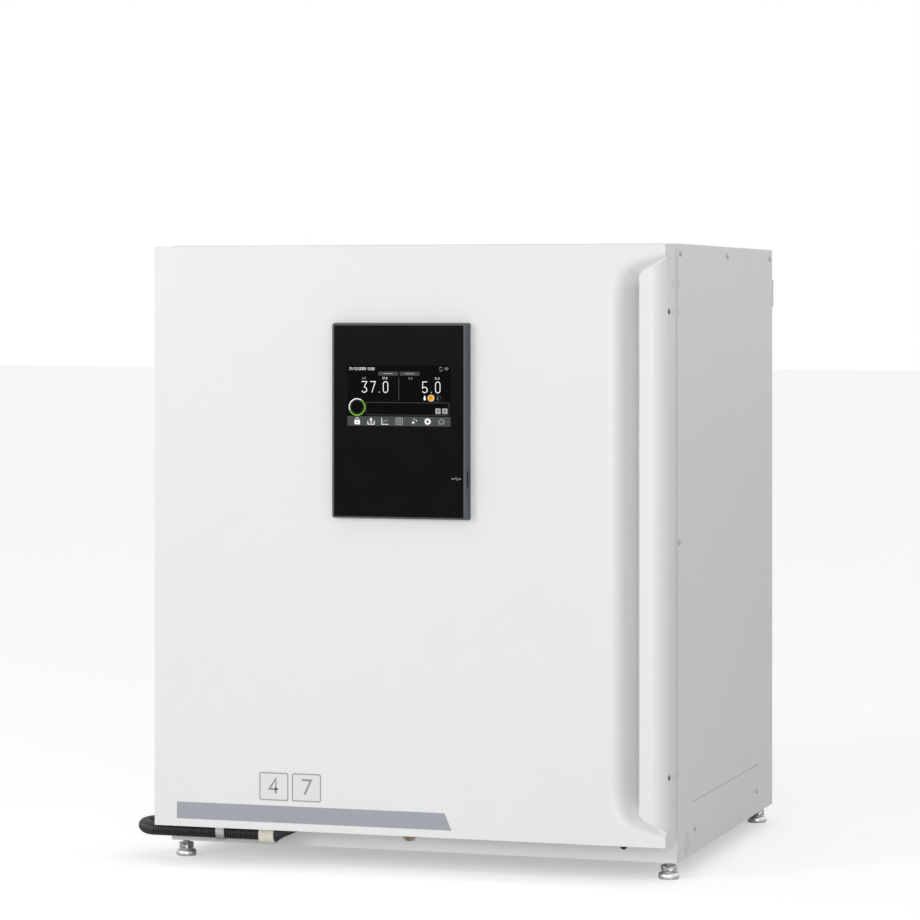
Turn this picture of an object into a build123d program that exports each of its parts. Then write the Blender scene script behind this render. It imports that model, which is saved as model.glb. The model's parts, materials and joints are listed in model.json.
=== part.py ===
from build123d import *
import os
from math import cos, sin, sqrt, tan, radians

# A carbon dioxide incubator of the 230 litre class, in millimetres.
# +X is right, +Y is back and +Z is up. Z is 0 at the floor, X is 0 at the middle of the cabinet,
# and Y is 0 half way between the front of the control panel and the rear hooks.

# Overall sizes
cabinet_width = 770.0
cabinet_height = 905.0
overall_depth = 705.0        # door front to rear sheet
panel_reach = 16.0           # the control panel stands this far in front of the door
hook_reach = 15.0            # the rear hooks stand this far behind the rear sheet
foot_hexagon = 20.0          # across flats
foot_height = 24.6           # floor to the underside of the cabinet
front_y = (panel_reach - overall_depth - hook_reach) / 2

# Sheet metal and gaps
sheet = 1.2
seat_gap = 0.3               # between pieces that are assembled but not pressed together
running_gap = 0.05           # radial, a shaft in its bore
panel_line = 0.6             # visible gap round a flush cover

# Outer door
door_thickness = 60.0
door_gap = 7.8               # door back to cabinet front, filled by the gasket
door_bottom = 55.9
door_top_drop = 1.8          # door top below cabinet top
door_wall = 2.0
door_edge_radius = 1.5
door_panel_recess = 7.0      # middle of the inner panel, set in from the door's back
door_panel_rim = 34.0        # flat rim of the inner panel, which carries the gasket
door_gasket_width = 14.0
door_gasket_margin = 3.0     # door's side to gasket
door_gasket_end_margin = 6.5 # door's top and bottom to gasket

# Moulded grip along the door's opening edge
lip_width = 38.5             # side of the door to the lip's free edge
lip_radius = 28.0            # rounding of the lip into the side
lip_wall = 5.0
lip_end_drop = 20.6          # door's top or bottom edge to the lip's end at the side
lip_end_slope = 28.0         # degrees, the lip's slanted ends
lip_corner_radius = 13.0
dish_width = 49.5            # lip's free edge to where the dish starts
dish_roll_radius = 30.0
dish_wall_angle = 56.0       # degrees from the front face
dish_depth = 36.0
dish_floor_radius = 8.0
dish_crossing = 0.3          # keeps the roll from touching the front face at a tangent
dish_end_start = 34.0        # door's top or bottom edge to where the dish starts to run out
dish_run_out = (38.0, -45.0, 26.0)

# Control panel on the door
control_left = -107.1
control_width = 206.6
control_top_drop = 111.2      # door top to the panel
control_height = 281.0
control_flange = 3.0
control_taper = 3.4
control_corner = 4.0
control_rim = 2.6
glass_thickness = 1.5
screen_inset = 26.6          # panel's left side to the screen
screen_width = 155.0
screen_top_drop = 61.0       # panel top to the screen
screen_height = 86.5
screen_module_margin = 8.0
screen_module_depth = 9.0
usb_lift = 47.5              # panel bottom to the socket's slot
usb_height = 21.5
usb_y = (4.0, 11.0)          # in front of the door's face
usb_pocket = 13.0

# Cabinet body
frame_margin_side = 27.0     # cabinet side to the recess of the inner door
frame_margin_top = 55.0
frame_margin_bottom = 55.4   # underside of the cabinet to the recess
frame_recess = 21.0
frame_return = 1.2           # the front frame wraps round the cabinet's corner by this much
corner_seam = 3.0            # open seam between the front frame and the side panels
top_flange = 22.0
base_height = 40.0
base_ledge = 20.0
foot_inset_x = 16.2
foot_inset_front = 17.2
foot_inset_rear = 39.0
foot_stud_radius = 5.0
foot_bush_radius = 12.0
foot_bush_height = 12.0

# Chamber
side_wall = 63.5             # cabinet side to the chamber
ceiling_wall = 90.0
rear_wall = 92.2
chamber_floor = 115.0
chamber_radius = 25.0
liner_sheet = 1.0
liner_overlap = 17.0         # the glass laps over the chamber's edge by this much
rear_insulation = 46.0
duct_width = 420.0
duct_depth = 30.0
duct_end_gap = 22.0          # duct to the chamber's floor and ceiling
fan_drop = 90.0              # ceiling to the fan's axis
lamp_lift = 57.0             # chamber floor to the lamp
fan_radius = 55.0
fan_depth = 16.0
fan_blades = 20
fan_shaft_radius = 3.0
fan_inlet_radius = 46.0
fan_motor_radius = 34.0
fan_motor_length = 34.0

# Inner door
inner_glass = 6.0
inner_gap = 0.3
chamber_gasket_width = 11.0
chamber_gasket_thickness = 4.7
inner_axis_inset = 9.0       # recess side to the inner hinge axis
inner_axis_forward = 5.0     # hinge axis in front of the glass
inner_knuckle_radius = 5.0
inner_hinge_half = 26.0
inner_hinge_inset = 75.0     # chamber's floor and ceiling to the inner hinges
latch_inset = 17.5           # glass edge to the latch's pivot
latch_reach = 32.0           # pivot to the tongue's tip
latch_tongue = 3.0
latch_pivot_radius = 4.0

# Outer hinges on the left side
hinge_low_inset = 76.0       # door's bottom edge to the lower hinge
hinge_high_inset = 75.0
hinge_half = 30.0
hinge_pitch = 40.3           # between the two screws of a leaf
hinge_leaf = 2.5
hinge_knuckle_radius = 5.5
hinge_pin_radius = 3.0
hinge_door_screw = 17.1      # the door leaf's screws in front of the door's back
hinge_cabinet_screw = 12.0   # the cabinet leaf's screws behind the cabinet's front

# Shelves and pan
shelf_count = 4
shelf_lift = 90.0            # chamber floor to the first shelf
shelf_top_room = 160.0       # last shelf to the ceiling
shelf_side_gap = 2.7
shelf_rear_gap = 26.0        # for the air that returns in front of the duct
shelf_front = 18.0           # shelf front behind the chamber's front flange
shelf_sheet = 1.2
shelf_rim = 12.0
shelf_slot = (14.0, 40.0)
shelf_slots_across = 10
shelf_slots_deep = 7
rail_ledge = 12.0
rail_sheet = 1.5
post_width = 22.0
post_depth = 9.0
pan_height = 32.0
pan_side_gap = 23.5
pan_setback = 2.0            # behind the shelves' front edge
pan_rear_gap = 18.0          # in front of the shelves' rear edge
pan_corner = 20.0
pan_wall = 1.2

# Fasteners and small parts
plug_radius = 6.0
plug_rise = 1.2
screw_radius = 4.3
screw_rise = 1.8
plug_hole_gap = 0.4
side_cover_y = (160.0, 600.0)
side_cover_top = 100.0
side_cover_corner = 10.0
port_plug_radius = 15.75
port_plug_y = 121.5
port_plug_z = 47.0
port_tube_radius = 15.0
port_tube_wall = 3.0
port_side_gap = 25.0         # duct's side to the port's axis
port_drop = 70.0             # ceiling to the port's axis
sensor_side_gap = 35.0       # duct's side to the sensors' axis
sensor_forward = 32.0        # in front of the duct

# Screws
side_screw_drop = 14.0       # below the cabinet's top
side_screw_inset = 20.0      # from the side's front and rear edges
grip_screw_offset = 19.8     # hinge height to the screw in the lip
grip_screw_y = 24.0
grip_screw_length = 2.5

# Rear fittings
cover_x = (-250.0, 250.0)
cover_z = (120.0, 600.0)
cover_rise = 3.0
hook_top_drop = 46.5
hook_height = 43.5
hook_sheet = 1.6
hook_tip = 18.0
inlet_hole_x = (288.0, 338.0)
inlet_hole_z = (140.0, 214.0)
switch_half_x = 11.0
switch_z = (180.0, 206.0)
switch_tilt = 9.0
switch_axis_inset = 6.0
switch_pin_radius = 1.5
nipple_x = -320.0
nipple_heights = (150.0, 195.0)
nipple_radius = 4.0

# Small fittings on the front, as pairs of x and height above the cabinet's underside
cap_place = (307.1, 21.4)
drain_place = (-14.0, 25.4)

# Corrugated conduit with the door's wiring
conduit_radius = 10.0
conduit_gap = 0.5             # below the door
conduit_y = 35.0
conduit_start_x = -186.0
conduit_hole_y = 121.5

# Places worked out from the sizes above
half_width = cabinet_width / 2
door_back = door_thickness
cabinet_front = door_thickness + door_gap
door_top = cabinet_height - door_top_drop
conduit_height = door_bottom - conduit_gap - conduit_radius
hinge_heights = (door_bottom + hinge_low_inset, door_top - hinge_high_inset)
grip_screw_heights = (hinge_heights[0] + grip_screw_offset, hinge_heights[1] - grip_screw_offset)
control_x = (control_left, control_left + control_width)
control_z = (door_top - control_top_drop - control_height, door_top - control_top_drop)
screen_x = (control_x[0] + screen_inset, control_x[0] + screen_inset + screen_width)
screen_z = (control_z[1] - screen_top_drop - screen_height, control_z[1] - screen_top_drop)
usb_z = (control_z[0] + usb_lift, control_z[0] + usb_lift + usb_height)
recess_x = half_width - frame_margin_side
recess_bottom = foot_height + frame_margin_bottom
recess_top = cabinet_height - frame_margin_top
flange_y = cabinet_front + frame_recess
chamber_top = cabinet_height - ceiling_wall
chamber_half = half_width - side_wall
chamber_rear = overall_depth - rear_wall
duct_height = (chamber_floor + duct_end_gap, chamber_top - duct_end_gap)
fan_height = chamber_top - fan_drop
port_place = (-duct_width / 2 - port_side_gap, chamber_top - port_drop)
sensor_x = duct_width / 2 + sensor_side_gap
inner_hinge_heights = (chamber_floor + inner_hinge_inset, chamber_top - inner_hinge_inset)
latch_height = (chamber_floor + chamber_top) / 2
shelf_front_y = flange_y + shelf_front
shelf_rear_y = chamber_rear - duct_depth - shelf_rear_gap
shelf_half = chamber_half - seat_gap - post_depth - rail_sheet - shelf_side_gap
shelf_pitch = (chamber_top - chamber_floor - shelf_lift - shelf_top_room) / (shelf_count - 1)
shelf_heights = [chamber_floor + shelf_lift + index * shelf_pitch for index in range(shelf_count)]
pan_half = chamber_half - pan_side_gap
pan_y = (shelf_front_y + pan_setback, shelf_rear_y - pan_rear_gap)
glass_back = flange_y - chamber_gasket_thickness - inner_gap
glass_front = glass_back - inner_glass
glass_x = chamber_half + liner_overlap
glass_z = (chamber_floor - liner_overlap, chamber_top + liner_overlap)
inner_axis_x = -recess_x + inner_axis_inset
inner_axis_y = glass_front - inner_axis_forward
outer_axis_x = -half_width - 0.5 - hinge_knuckle_radius
outer_axis_y = (door_back + cabinet_front) / 2
insulation_rear_y = chamber_rear + liner_sheet + seat_gap
lip_edge = half_width - lip_width
grip_screw_seat = half_width - 1.4
switch_axis_y = overall_depth - switch_axis_inset
side_screw_places = [
    (cabinet_front + side_screw_inset, cabinet_height - side_screw_drop),
    (overall_depth - side_screw_inset, cabinet_height - side_screw_drop),
    ((cabinet_front + overall_depth) / 2, cabinet_height - side_screw_drop),
    (cabinet_front + hinge_cabinet_screw, (hinge_heights[0] + hinge_heights[1]) / 2),
]
cover_screw_places = [(y, side_cover_top - 40) for y in (side_cover_y[0] + 14, side_cover_y[1] - 12)]
rear_screw_places = [(x, z) for x in (cover_x[0] + 7, cover_x[1] - 7)
                     for z in (cover_z[0] + 12, (cover_z[0] + cover_z[1]) / 2, cover_z[1] - 12)]


def at(depth):
    """The Y of a place that is this far behind the door's front face."""
    return front_y + depth


def slab(x, y, z):
    """A block between pairs of limits; y counts from the door's front face."""
    middle = ((x[0] + x[1]) / 2, at((y[0] + y[1]) / 2), (z[0] + z[1]) / 2)
    return Pos(*middle) * Box(x[1] - x[0], y[1] - y[0], z[1] - z[0])


def along(point, direction, x_direction=None):
    """A plane at a point whose normal is the direction; the point's y counts from the door's front."""
    return Plane(origin=(point[0], at(point[1]), point[2]), x_dir=x_direction, z_dir=direction)


def rod(radius, point, direction, length):
    """A round bar that starts at a point and runs along a direction."""
    return along(point, direction) * Cylinder(radius, length, align=(Align.CENTER, Align.CENTER, Align.MIN))


def front_plate(sketch, y):
    """A sketch drawn in X and Z, given the thickness between two depths."""
    return extrude(Plane.XZ.offset(-at(y[1])) * sketch, amount=y[1] - y[0])


def rounded(x, z, radius):
    """A rounded rectangle in X and Z between pairs of limits."""
    return Pos((x[0] + x[1]) / 2, (z[0] + z[1]) / 2) * RectangleRounded(x[1] - x[0], z[1] - z[0], radius)


def ring_plate(outer_x, outer_z, inner_x, inner_z, y, radius):
    """A flat frame with a rounded opening."""
    outer = rounded(outer_x, outer_z, radius[0])
    inner = rounded(inner_x, inner_z, radius[1])
    return front_plate(outer - inner, y)


def turned(points, point, direction):
    """A turned piece: points are (radius, height) pairs along a direction from a point."""
    profile = make_face(Polyline(*[(r, 0, h) for r, h in points], close=True))
    return along(point, direction) * revolve(profile, Axis.Z)


def screw(point, direction, length, radius=screw_radius, rise=screw_rise):
    """A pan-head screw: the domed head and the shank behind it."""
    shank = radius * 0.5
    points = [
        (0, -length), (shank, -length), (shank, 0), (radius, 0),
        (radius, rise * 0.5), (radius * 0.72, rise), (0, rise),
    ]
    return turned(points, point, direction)


def screw_hole(point, direction, length):
    """The hole for a screw's shank."""
    return rod(screw_radius / 2 + running_gap, point, [-part for part in direction], length)


def save(name, *solids):
    """Writes one node: its solids are separate pieces of the same kind."""
    flat = []
    for item in solids:
        flat.extend(item.solids() if hasattr(item, "solids") else [item])
    shape = flat[0] if len(flat) == 1 else Compound(children=flat)
    export_step(shape, "parts/" + name + ".step")


# The outer door

def dish_profile(grow, right):
    """The dish's section in X and Y, wider by grow; it opens through the front and runs to the right."""
    start_x = lip_edge - dish_width
    radius = dish_roll_radius - grow
    centre_y = dish_roll_radius - dish_crossing
    turn = radians(dish_wall_angle)
    floor = dish_depth + grow
    bend = dish_floor_radius + grow
    roll_end = (start_x + radius * sin(turn), centre_y - radius * cos(turn))
    corner_x = roll_end[0] + (floor - roll_end[1]) / tan(turn)
    tangent = bend * tan(turn / 2)
    wall_end = (corner_x - tangent * cos(turn), floor - tangent * sin(turn))
    floor_start = (corner_x + tangent, floor)
    bend_middle_angle = turn / 2
    bend_centre = (floor_start[0], floor - bend)
    bend_middle = (
        bend_centre[0] - bend * sin(bend_middle_angle),
        bend_centre[1] + bend * cos(bend_middle_angle),
    )
    roll_lead = radians(20)
    roll_start = (start_x - radius * sin(roll_lead), centre_y - radius * cos(roll_lead))
    roll_middle_angle = (turn - roll_lead) / 2
    roll_middle = (start_x + radius * sin(roll_middle_angle), centre_y - radius * cos(roll_middle_angle))
    mouth = -2 * dish_depth
    edge = [
        ThreePointArc(roll_start, roll_middle, roll_end),
        Line(roll_end, wall_end),
        ThreePointArc(wall_end, bend_middle, floor_start),
        Line(floor_start, (right, floor)),
        Line((right, floor), (right, mouth)),
        Line((right, mouth), (roll_start[0], mouth)),
        Line((roll_start[0], mouth), roll_start),
    ]
    return make_face(edge)


def dish_tool(grow):
    """What the dish takes out of the door: an upright run and two ends that rise out of the front."""
    low = door_bottom + dish_end_start
    high = door_top - dish_end_start
    right = half_width + 40
    profile = dish_profile(grow, right)
    run_x, run_y, run_z = dish_run_out
    middle = Pos(0, front_y, low) * extrude(profile, amount=high - low)
    length = sqrt(run_x**2 + run_y**2 + run_z**2)
    upper = Pos(0, front_y, high) * extrude(profile, amount=length, dir=(run_x, run_y, run_z))
    lower = Pos(0, front_y, low) * extrude(profile, amount=length, dir=(run_x, run_y, -run_z))
    return middle + upper + lower


def lip_outline(grow):
    """The lip seen from the front: a tall strip with slanted, rounded ends, in X and Z."""
    left = lip_edge - grow
    right = half_width + 45
    low = door_bottom + lip_end_drop - grow
    high = door_top - lip_end_drop + grow
    rise = (half_width - left) * tan(radians(lip_end_slope))
    outline = make_face(Polyline(
        (left, low + rise), (left, high - rise), (half_width, high),
        (right, high), (right, low), (half_width, low), close=True,
    ))
    corners = [v for v in outline.vertices() if abs(v.X - left) < 0.01]
    return fillet(corners, lip_corner_radius)


def grip_pocket():
    """The finger space behind the lip, with the rounded nose of the lip's free edge."""
    inner = lip_radius - lip_wall
    centre = (half_width - lip_radius, lip_radius)
    half_turn = radians(45)
    nose = lip_wall / 2
    lead = lip_edge - 3
    right = centre[0] + inner
    through = dish_depth + 4
    edge = [
        Line((lead, through), (right, through)),
        Line((right, through), (right, centre[1])),
        ThreePointArc(
            (right, centre[1]),
            (centre[0] + inner * sin(half_turn), centre[1] - inner * cos(half_turn)),
            (centre[0], lip_wall),
        ),
        Line((centre[0], lip_wall), (lip_edge + nose, lip_wall)),
        ThreePointArc((lip_edge + nose, lip_wall), (lip_edge, nose), (lip_edge + nose, 0)),
        Line((lip_edge + nose, 0), (lip_edge + nose, -nose)),
        Line((lip_edge + nose, -nose), (lead, -nose)),
        Line((lead, -nose), (lead, through)),
    ]
    rise = lip_width * tan(radians(lip_end_slope)) + lip_corner_radius
    low = door_bottom + lip_end_drop + rise
    high = door_top - lip_end_drop - rise
    return Pos(0, front_y, low) * extrude(make_face(edge), amount=high - low)


def corner_remainder():
    """What rounding the lip into the side takes off the door's front corner."""
    centre = (half_width - lip_radius, lip_radius)
    half_turn = radians(45)
    beyond = half_width + 2
    edge = [
        Line((centre[0], -2), (beyond, -2)),
        Line((beyond, -2), (beyond, centre[1])),
        Line((beyond, centre[1]), (half_width, centre[1])),
        ThreePointArc(
            (half_width, centre[1]),
            (centre[0] + lip_radius * sin(half_turn), centre[1] - lip_radius * cos(half_turn)),
            (centre[0], 0),
        ),
        Line((centre[0], 0), (centre[0], -2)),
    ]
    low = door_bottom + lip_end_drop
    high = door_top - lip_end_drop
    return Pos(0, front_y, low) * extrude(make_face(edge), amount=high - low)


def door_shell():
    """The white door cover: a deep tray, open at the back, with the dished grip moulded in."""
    width = (-half_width, half_width)
    body = slab(width, (0, door_thickness), (door_bottom, door_top))
    front_edges = body.faces().sort_by(Axis.Y)[0].edges()
    body = fillet(front_edges, door_edge_radius)
    lip = front_plate(lip_outline(0), (-3 * dish_depth, dish_depth + 2)) - grip_pocket()
    body = body - (dish_tool(0) - lip) - corner_remainder()
    inner_x = (-half_width + door_wall, half_width - door_wall)
    inner_z = (door_bottom + door_wall, door_top - door_wall)
    hollow = slab(inner_x, (door_wall, door_thickness + 5), inner_z)
    grown_lip = front_plate(lip_outline(door_wall), (-3 * dish_depth, dish_depth + door_wall))
    body = body - (hollow - dish_tool(door_wall) - grown_lip)
    for height in grip_screw_heights:
        seat = (grip_screw_seat, grip_screw_y, height)
        body = body - rod(screw_radius + seat_gap, seat, (1, 0, 0), 10)
        body = body - rod(screw_radius / 2 + running_gap, seat, (-1, 0, 0), grip_screw_length + 0.5)
    return body


def door_foam():
    """Foam in the door: full depth beside the dish, thinner behind it."""
    clear = door_wall + seat_gap
    back = door_thickness - sheet - door_panel_recess
    split = lip_edge - dish_width - 15
    x_low = -half_width + clear
    full = slab((x_low, split), (clear, back), (door_bottom + clear, door_top - clear))
    thin_front = dish_depth + door_wall + seat_gap
    thin = slab((split, half_width - clear), (thin_front, back), (door_bottom + clear, door_top - clear))
    return full + thin


def door_inner_panel():
    """The pressed sheet that closes the door's back: a flat rim and a recessed middle."""
    clear = door_wall + seat_gap
    x = half_width - clear
    z = (door_bottom + clear, door_top - clear)
    inner_x = half_width - door_panel_rim
    inner_z = (door_bottom + door_panel_rim, door_top - door_panel_rim)
    floor = (door_thickness - door_panel_recess - sheet, door_thickness - door_panel_recess)
    rim = slab((-x, x), (door_thickness - sheet, door_thickness), z)
    rim = rim - front_plate(rounded((-inner_x, inner_x), inner_z, 12), (0, door_thickness + 1))
    wall_x = inner_x + sheet
    wall_z = (inner_z[0] - sheet, inner_z[1] + sheet)
    walls = ring_plate((-wall_x, wall_x), wall_z, (-inner_x, inner_x), inner_z,
                       (floor[0], door_thickness), (12 + sheet, 12))
    middle = front_plate(rounded((-wall_x, wall_x), wall_z, 12 + sheet), floor)
    return rim + walls + middle


def door_gasket():
    """The magnetic gasket: a flat bellows frame between the door and the cabinet."""
    outer = half_width - door_gasket_margin
    inner = outer - door_gasket_width
    z = (door_bottom + door_gasket_end_margin, door_top - door_gasket_end_margin)
    inner_z = (z[0] + door_gasket_width, z[1] - door_gasket_width)
    y = (door_thickness, cabinet_front - seat_gap)
    ring = ring_plate((-outer, outer), z, (-inner, inner), inner_z, y, (8, 3))
    groove_y = ((y[0] + y[1]) / 2 - 0.9, (y[0] + y[1]) / 2 + 0.9)
    groove = 2.2
    notch = ring_plate((-outer - 1, outer + 1), (z[0] - 1, z[1] + 1),
                       (-outer + groove, outer - groove), (z[0] + groove, z[1] - groove), groove_y, (8, 8))
    return ring - notch


def hinge_leaf_pair(door_side):
    """The leaves of both outer hinges on one side of the gap, with their knuckles and screws."""
    pieces = []
    face_x = -half_width
    for height in hinge_heights:
        if door_side:
            screw_y = door_back - hinge_door_screw
            far_y, near_y = screw_y - 9, outer_axis_y - hinge_knuckle_radius - 0.6
            knuckle_z = (height + seat_gap / 2, height + hinge_half)
        else:
            screw_y = cabinet_front + hinge_cabinet_screw
            far_y, near_y = screw_y + 9, outer_axis_y + hinge_knuckle_radius + 0.6
            knuckle_z = (height - hinge_half, height - seat_gap / 2)
        y = (min(far_y, near_y), max(far_y, near_y))
        leaf = slab((face_x - hinge_leaf, face_x), y, (height - hinge_half, height + hinge_half))
        reach = sorted((near_y, outer_axis_y))
        web = slab((face_x - 0.5 - hinge_leaf, face_x - 0.5), reach, knuckle_z)
        length = knuckle_z[1] - knuckle_z[0]
        knuckle = rod(hinge_knuckle_radius, (outer_axis_x, outer_axis_y, knuckle_z[0]), (0, 0, 1), length)
        body = leaf + web + knuckle
        if door_side:
            bore = hinge_pin_radius + running_gap
            body = body - rod(bore, (outer_axis_x, outer_axis_y, knuckle_z[0] - 1), (0, 0, 1), hinge_half - 3)
        else:
            body = body + rod(hinge_pin_radius, (outer_axis_x, outer_axis_y, knuckle_z[0]), (0, 0, 1),
                              length + hinge_half - 6)
        pieces.append(body)
        for side in (-1, 1):
            centre = (face_x - hinge_leaf, screw_y, height + side * hinge_pitch / 2)
            pieces[-1] = pieces[-1] + turned(
                [(0, -0.5), (5, -0.5), (5, 1), (3.6, 2), (0, 2)], centre, (-1, 0, 0))
    return pieces


def control_bezel():
    """The grey housing of the control panel: a flange, tapered sides and a shelf for the glass."""
    flange = front_plate(rounded(control_x, control_z, control_corner), (-control_flange, 0))
    front_x = (control_x[0] + control_taper, control_x[1] - control_taper)
    front_z = (control_z[0] + control_taper, control_z[1] - control_taper)
    wide = Plane.XZ.offset(-at(-control_flange)) * rounded(control_x, control_z, control_corner)
    narrow = Plane.XZ.offset(-at(-panel_reach)) * rounded(front_x, front_z, control_corner)
    body = flange + loft([wide, narrow])
    glass_in_x = (front_x[0] + control_rim - seat_gap, front_x[1] - control_rim + seat_gap)
    glass_in_z = (front_z[0] + control_rim - seat_gap, front_z[1] - control_rim + seat_gap)
    seat_y = -panel_reach + glass_thickness
    body = body - front_plate(rounded(glass_in_x, glass_in_z, 2), (-panel_reach - 1, seat_y))
    room_x = (screen_x[0] - screen_module_margin - seat_gap, screen_x[1] + screen_module_margin + seat_gap)
    room_z = (screen_z[0] - screen_module_margin - seat_gap, screen_z[1] + screen_module_margin + seat_gap)
    body = body - slab(room_x, (seat_y - 1, seat_y + screen_module_depth + seat_gap), room_z)
    usb_x = control_x[1] - usb_pocket
    slot = slab((usb_x, control_x[1] + 5), (-usb_y[1], -usb_y[0]), usb_z)
    return body - slot


def control_glass():
    """The black glass over the whole front of the control panel."""
    inset = control_taper + control_rim
    x = (control_x[0] + inset, control_x[1] - inset)
    z = (control_z[0] + inset, control_z[1] - inset)
    return front_plate(rounded(x, z, 2), (-panel_reach, -panel_reach + glass_thickness))


def display_module():
    """The touch display behind the glass, with its circuit board."""
    front = -panel_reach + glass_thickness
    x = (screen_x[0] - screen_module_margin, screen_x[1] + screen_module_margin)
    z = (screen_z[0] - screen_module_margin, screen_z[1] + screen_module_margin)
    panel = slab(x, (front, front + 5), z)
    board = slab((x[0] + 6, x[1] - 6), (front + 5, front + screen_module_depth), (z[0] + 6, z[1] - 6))
    return panel + board


def usb_socket():
    """The socket in the side of the control panel: a metal shell and its tongue."""
    x = (control_x[1] - usb_pocket, control_x[1] - 3.0)
    middle_z = (usb_z[0] + usb_z[1]) / 2
    y = (-usb_y[1] + 1, -usb_y[0] - 1)
    z = (middle_z - 7, middle_z + 7)
    shell = slab(x, y, z) - slab((x[0] + 1.5, x[1] + 1), (y[0] + 0.6, y[1] - 0.6), (z[0] + 0.6, z[1] - 0.6))
    middle_y = (y[0] + y[1]) / 2
    tongue = slab((x[0], x[1] - 1.5), (middle_y - 0.9, middle_y + 0.9), (z[0] + 1.6, z[1] - 1.6))
    return shell + tongue


def door_side_fittings():
    """Plugs in the spare hinge holes on the door's right side, and a screw in the lip by each end."""
    plugs = []
    screws = [screw((grip_screw_seat, grip_screw_y, height), (1, 0, 0), grip_screw_length)
              for height in grip_screw_heights]
    for height in hinge_heights:
        for side in (-1, 1):
            place = (half_width, door_back - hinge_door_screw, height + side * hinge_pitch / 2)
            plugs.append(turned(
                [(0, 0), (plug_radius, 0), (plug_radius, plug_rise * 0.4), (plug_radius - 1.5, plug_rise),
                 (0, plug_rise)], place, (1, 0, 0)))
    return plugs, screws


# The cabinet

def front_frame():
    """The painted frame round the opening, with the recess that holds the inner door."""
    x = half_width
    z = (foot_height, cabinet_height)
    face = slab((-x, x), (cabinet_front, cabinet_front + sheet), z)
    face = face - front_plate(rounded((-recess_x, recess_x), (recess_bottom, recess_top), 6),
                              (0, cabinet_front + 5))
    corner = []
    for side in (-1, 1):
        edge = sorted((side * x, side * (x - sheet)))
        corner.append(slab(edge, (cabinet_front, cabinet_front + frame_return), z))
    deep = (cabinet_front, flange_y - seat_gap)
    walls = ring_plate((-recess_x - sheet, recess_x + sheet), (recess_bottom - sheet, recess_top + sheet),
                       (-recess_x, recess_x), (recess_bottom, recess_top), deep, (6 + sheet, 6))
    return face + corner[0] + corner[1] + walls


def side_panel(side):
    """One painted side: a flat sheet with a rear return and, on the right, holes for plugs and cover."""
    start = cabinet_front + frame_return + corner_seam
    x = sorted((side * half_width, side * (half_width - sheet)))
    body = slab(x, (start, overall_depth), (foot_height, cabinet_height))
    for y, z in side_screw_places:
        body = body - screw_hole((side * (half_width + 1), y, z), (side, 0, 0), 5)
    lead = side * half_width
    hole = lead - side * 5
    if side > 0:
        cover = slab((x[0] - 5, x[1] + 5), side_cover_y, (foot_height - 5, side_cover_top))
        body = body - cover
        body = body - rod(port_plug_radius - 1, (hole, port_plug_y, port_plug_z), (side, 0, 0), 10)
    else:
        body = body - rod(conduit_radius + 3, (hole, conduit_hole_y, conduit_height), (side, 0, 0), 10)
    return body


def top_panel():
    """The painted top: a flat sheet with flanges turned down inside the sides."""
    x = half_width - sheet
    y = (cabinet_front + sheet, overall_depth - sheet)
    body = slab((-x, x), y, (cabinet_height - sheet, cabinet_height))
    flange_z = (cabinet_height - top_flange, cabinet_height - sheet / 2)
    for side in (-1, 1):
        edge = sorted((side * x, side * (x - sheet)))
        body = body + slab(edge, y, flange_z)
    return body


def rear_panel():
    """The rear sheet, with the holes for the access port, the inlet and the gas nipples."""
    x = half_width - sheet
    y = (overall_depth - sheet, overall_depth)
    body = slab((-x, x), y, (foot_height, cabinet_height))
    tube = port_tube_radius + port_tube_wall + seat_gap
    body = body - rod(tube, (port_place[0], overall_depth - 5, port_place[1]), (0, 1, 0), 10)
    body = body - slab(inlet_hole_x, (overall_depth - 5, overall_depth + 5), inlet_hole_z)
    for height in nipple_heights:
        body = body - rod(nipple_radius, (nipple_x, overall_depth - 5, height), (0, 1, 0), 10)
    return body


def rear_cover():
    """The louvred cover over the electrical room at the back."""
    y = (overall_depth, overall_depth + cover_rise)
    body = front_plate(rounded(cover_x, cover_z, 8), y)
    body = body - front_plate(
        rounded((cover_x[0] + sheet, cover_x[1] - sheet), (cover_z[0] + sheet, cover_z[1] - sheet), 7),
        (y[0] - 1, y[1] - sheet))
    for x, z in rear_screw_places:
        body = body - screw_hole((x, y[1] + 1, z), (0, 1, 0), 8)
    louvre = (90.0, 5.0)
    for column in (-1, 1):
        for row in range(9):
            centre = (column * 130.0, cover_z[0] + 90.0 + row * 16.0)
            slot = slab((centre[0] - louvre[0] / 2, centre[0] + louvre[0] / 2), (y[0] - 2, y[1] + 2),
                        (centre[1] - louvre[1] / 2, centre[1] + louvre[1] / 2))
            body = body - slot
    return body


def foot_places():
    """Names and centres of the four feet; y counts from the door's front."""
    x = half_width - foot_inset_x
    front = cabinet_front + foot_inset_front
    rear = overall_depth - foot_inset_rear
    return {
        "front_left": (-x, front), "front_right": (x, front),
        "rear_left": (-x, rear), "rear_right": (x, rear),
    }


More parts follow.
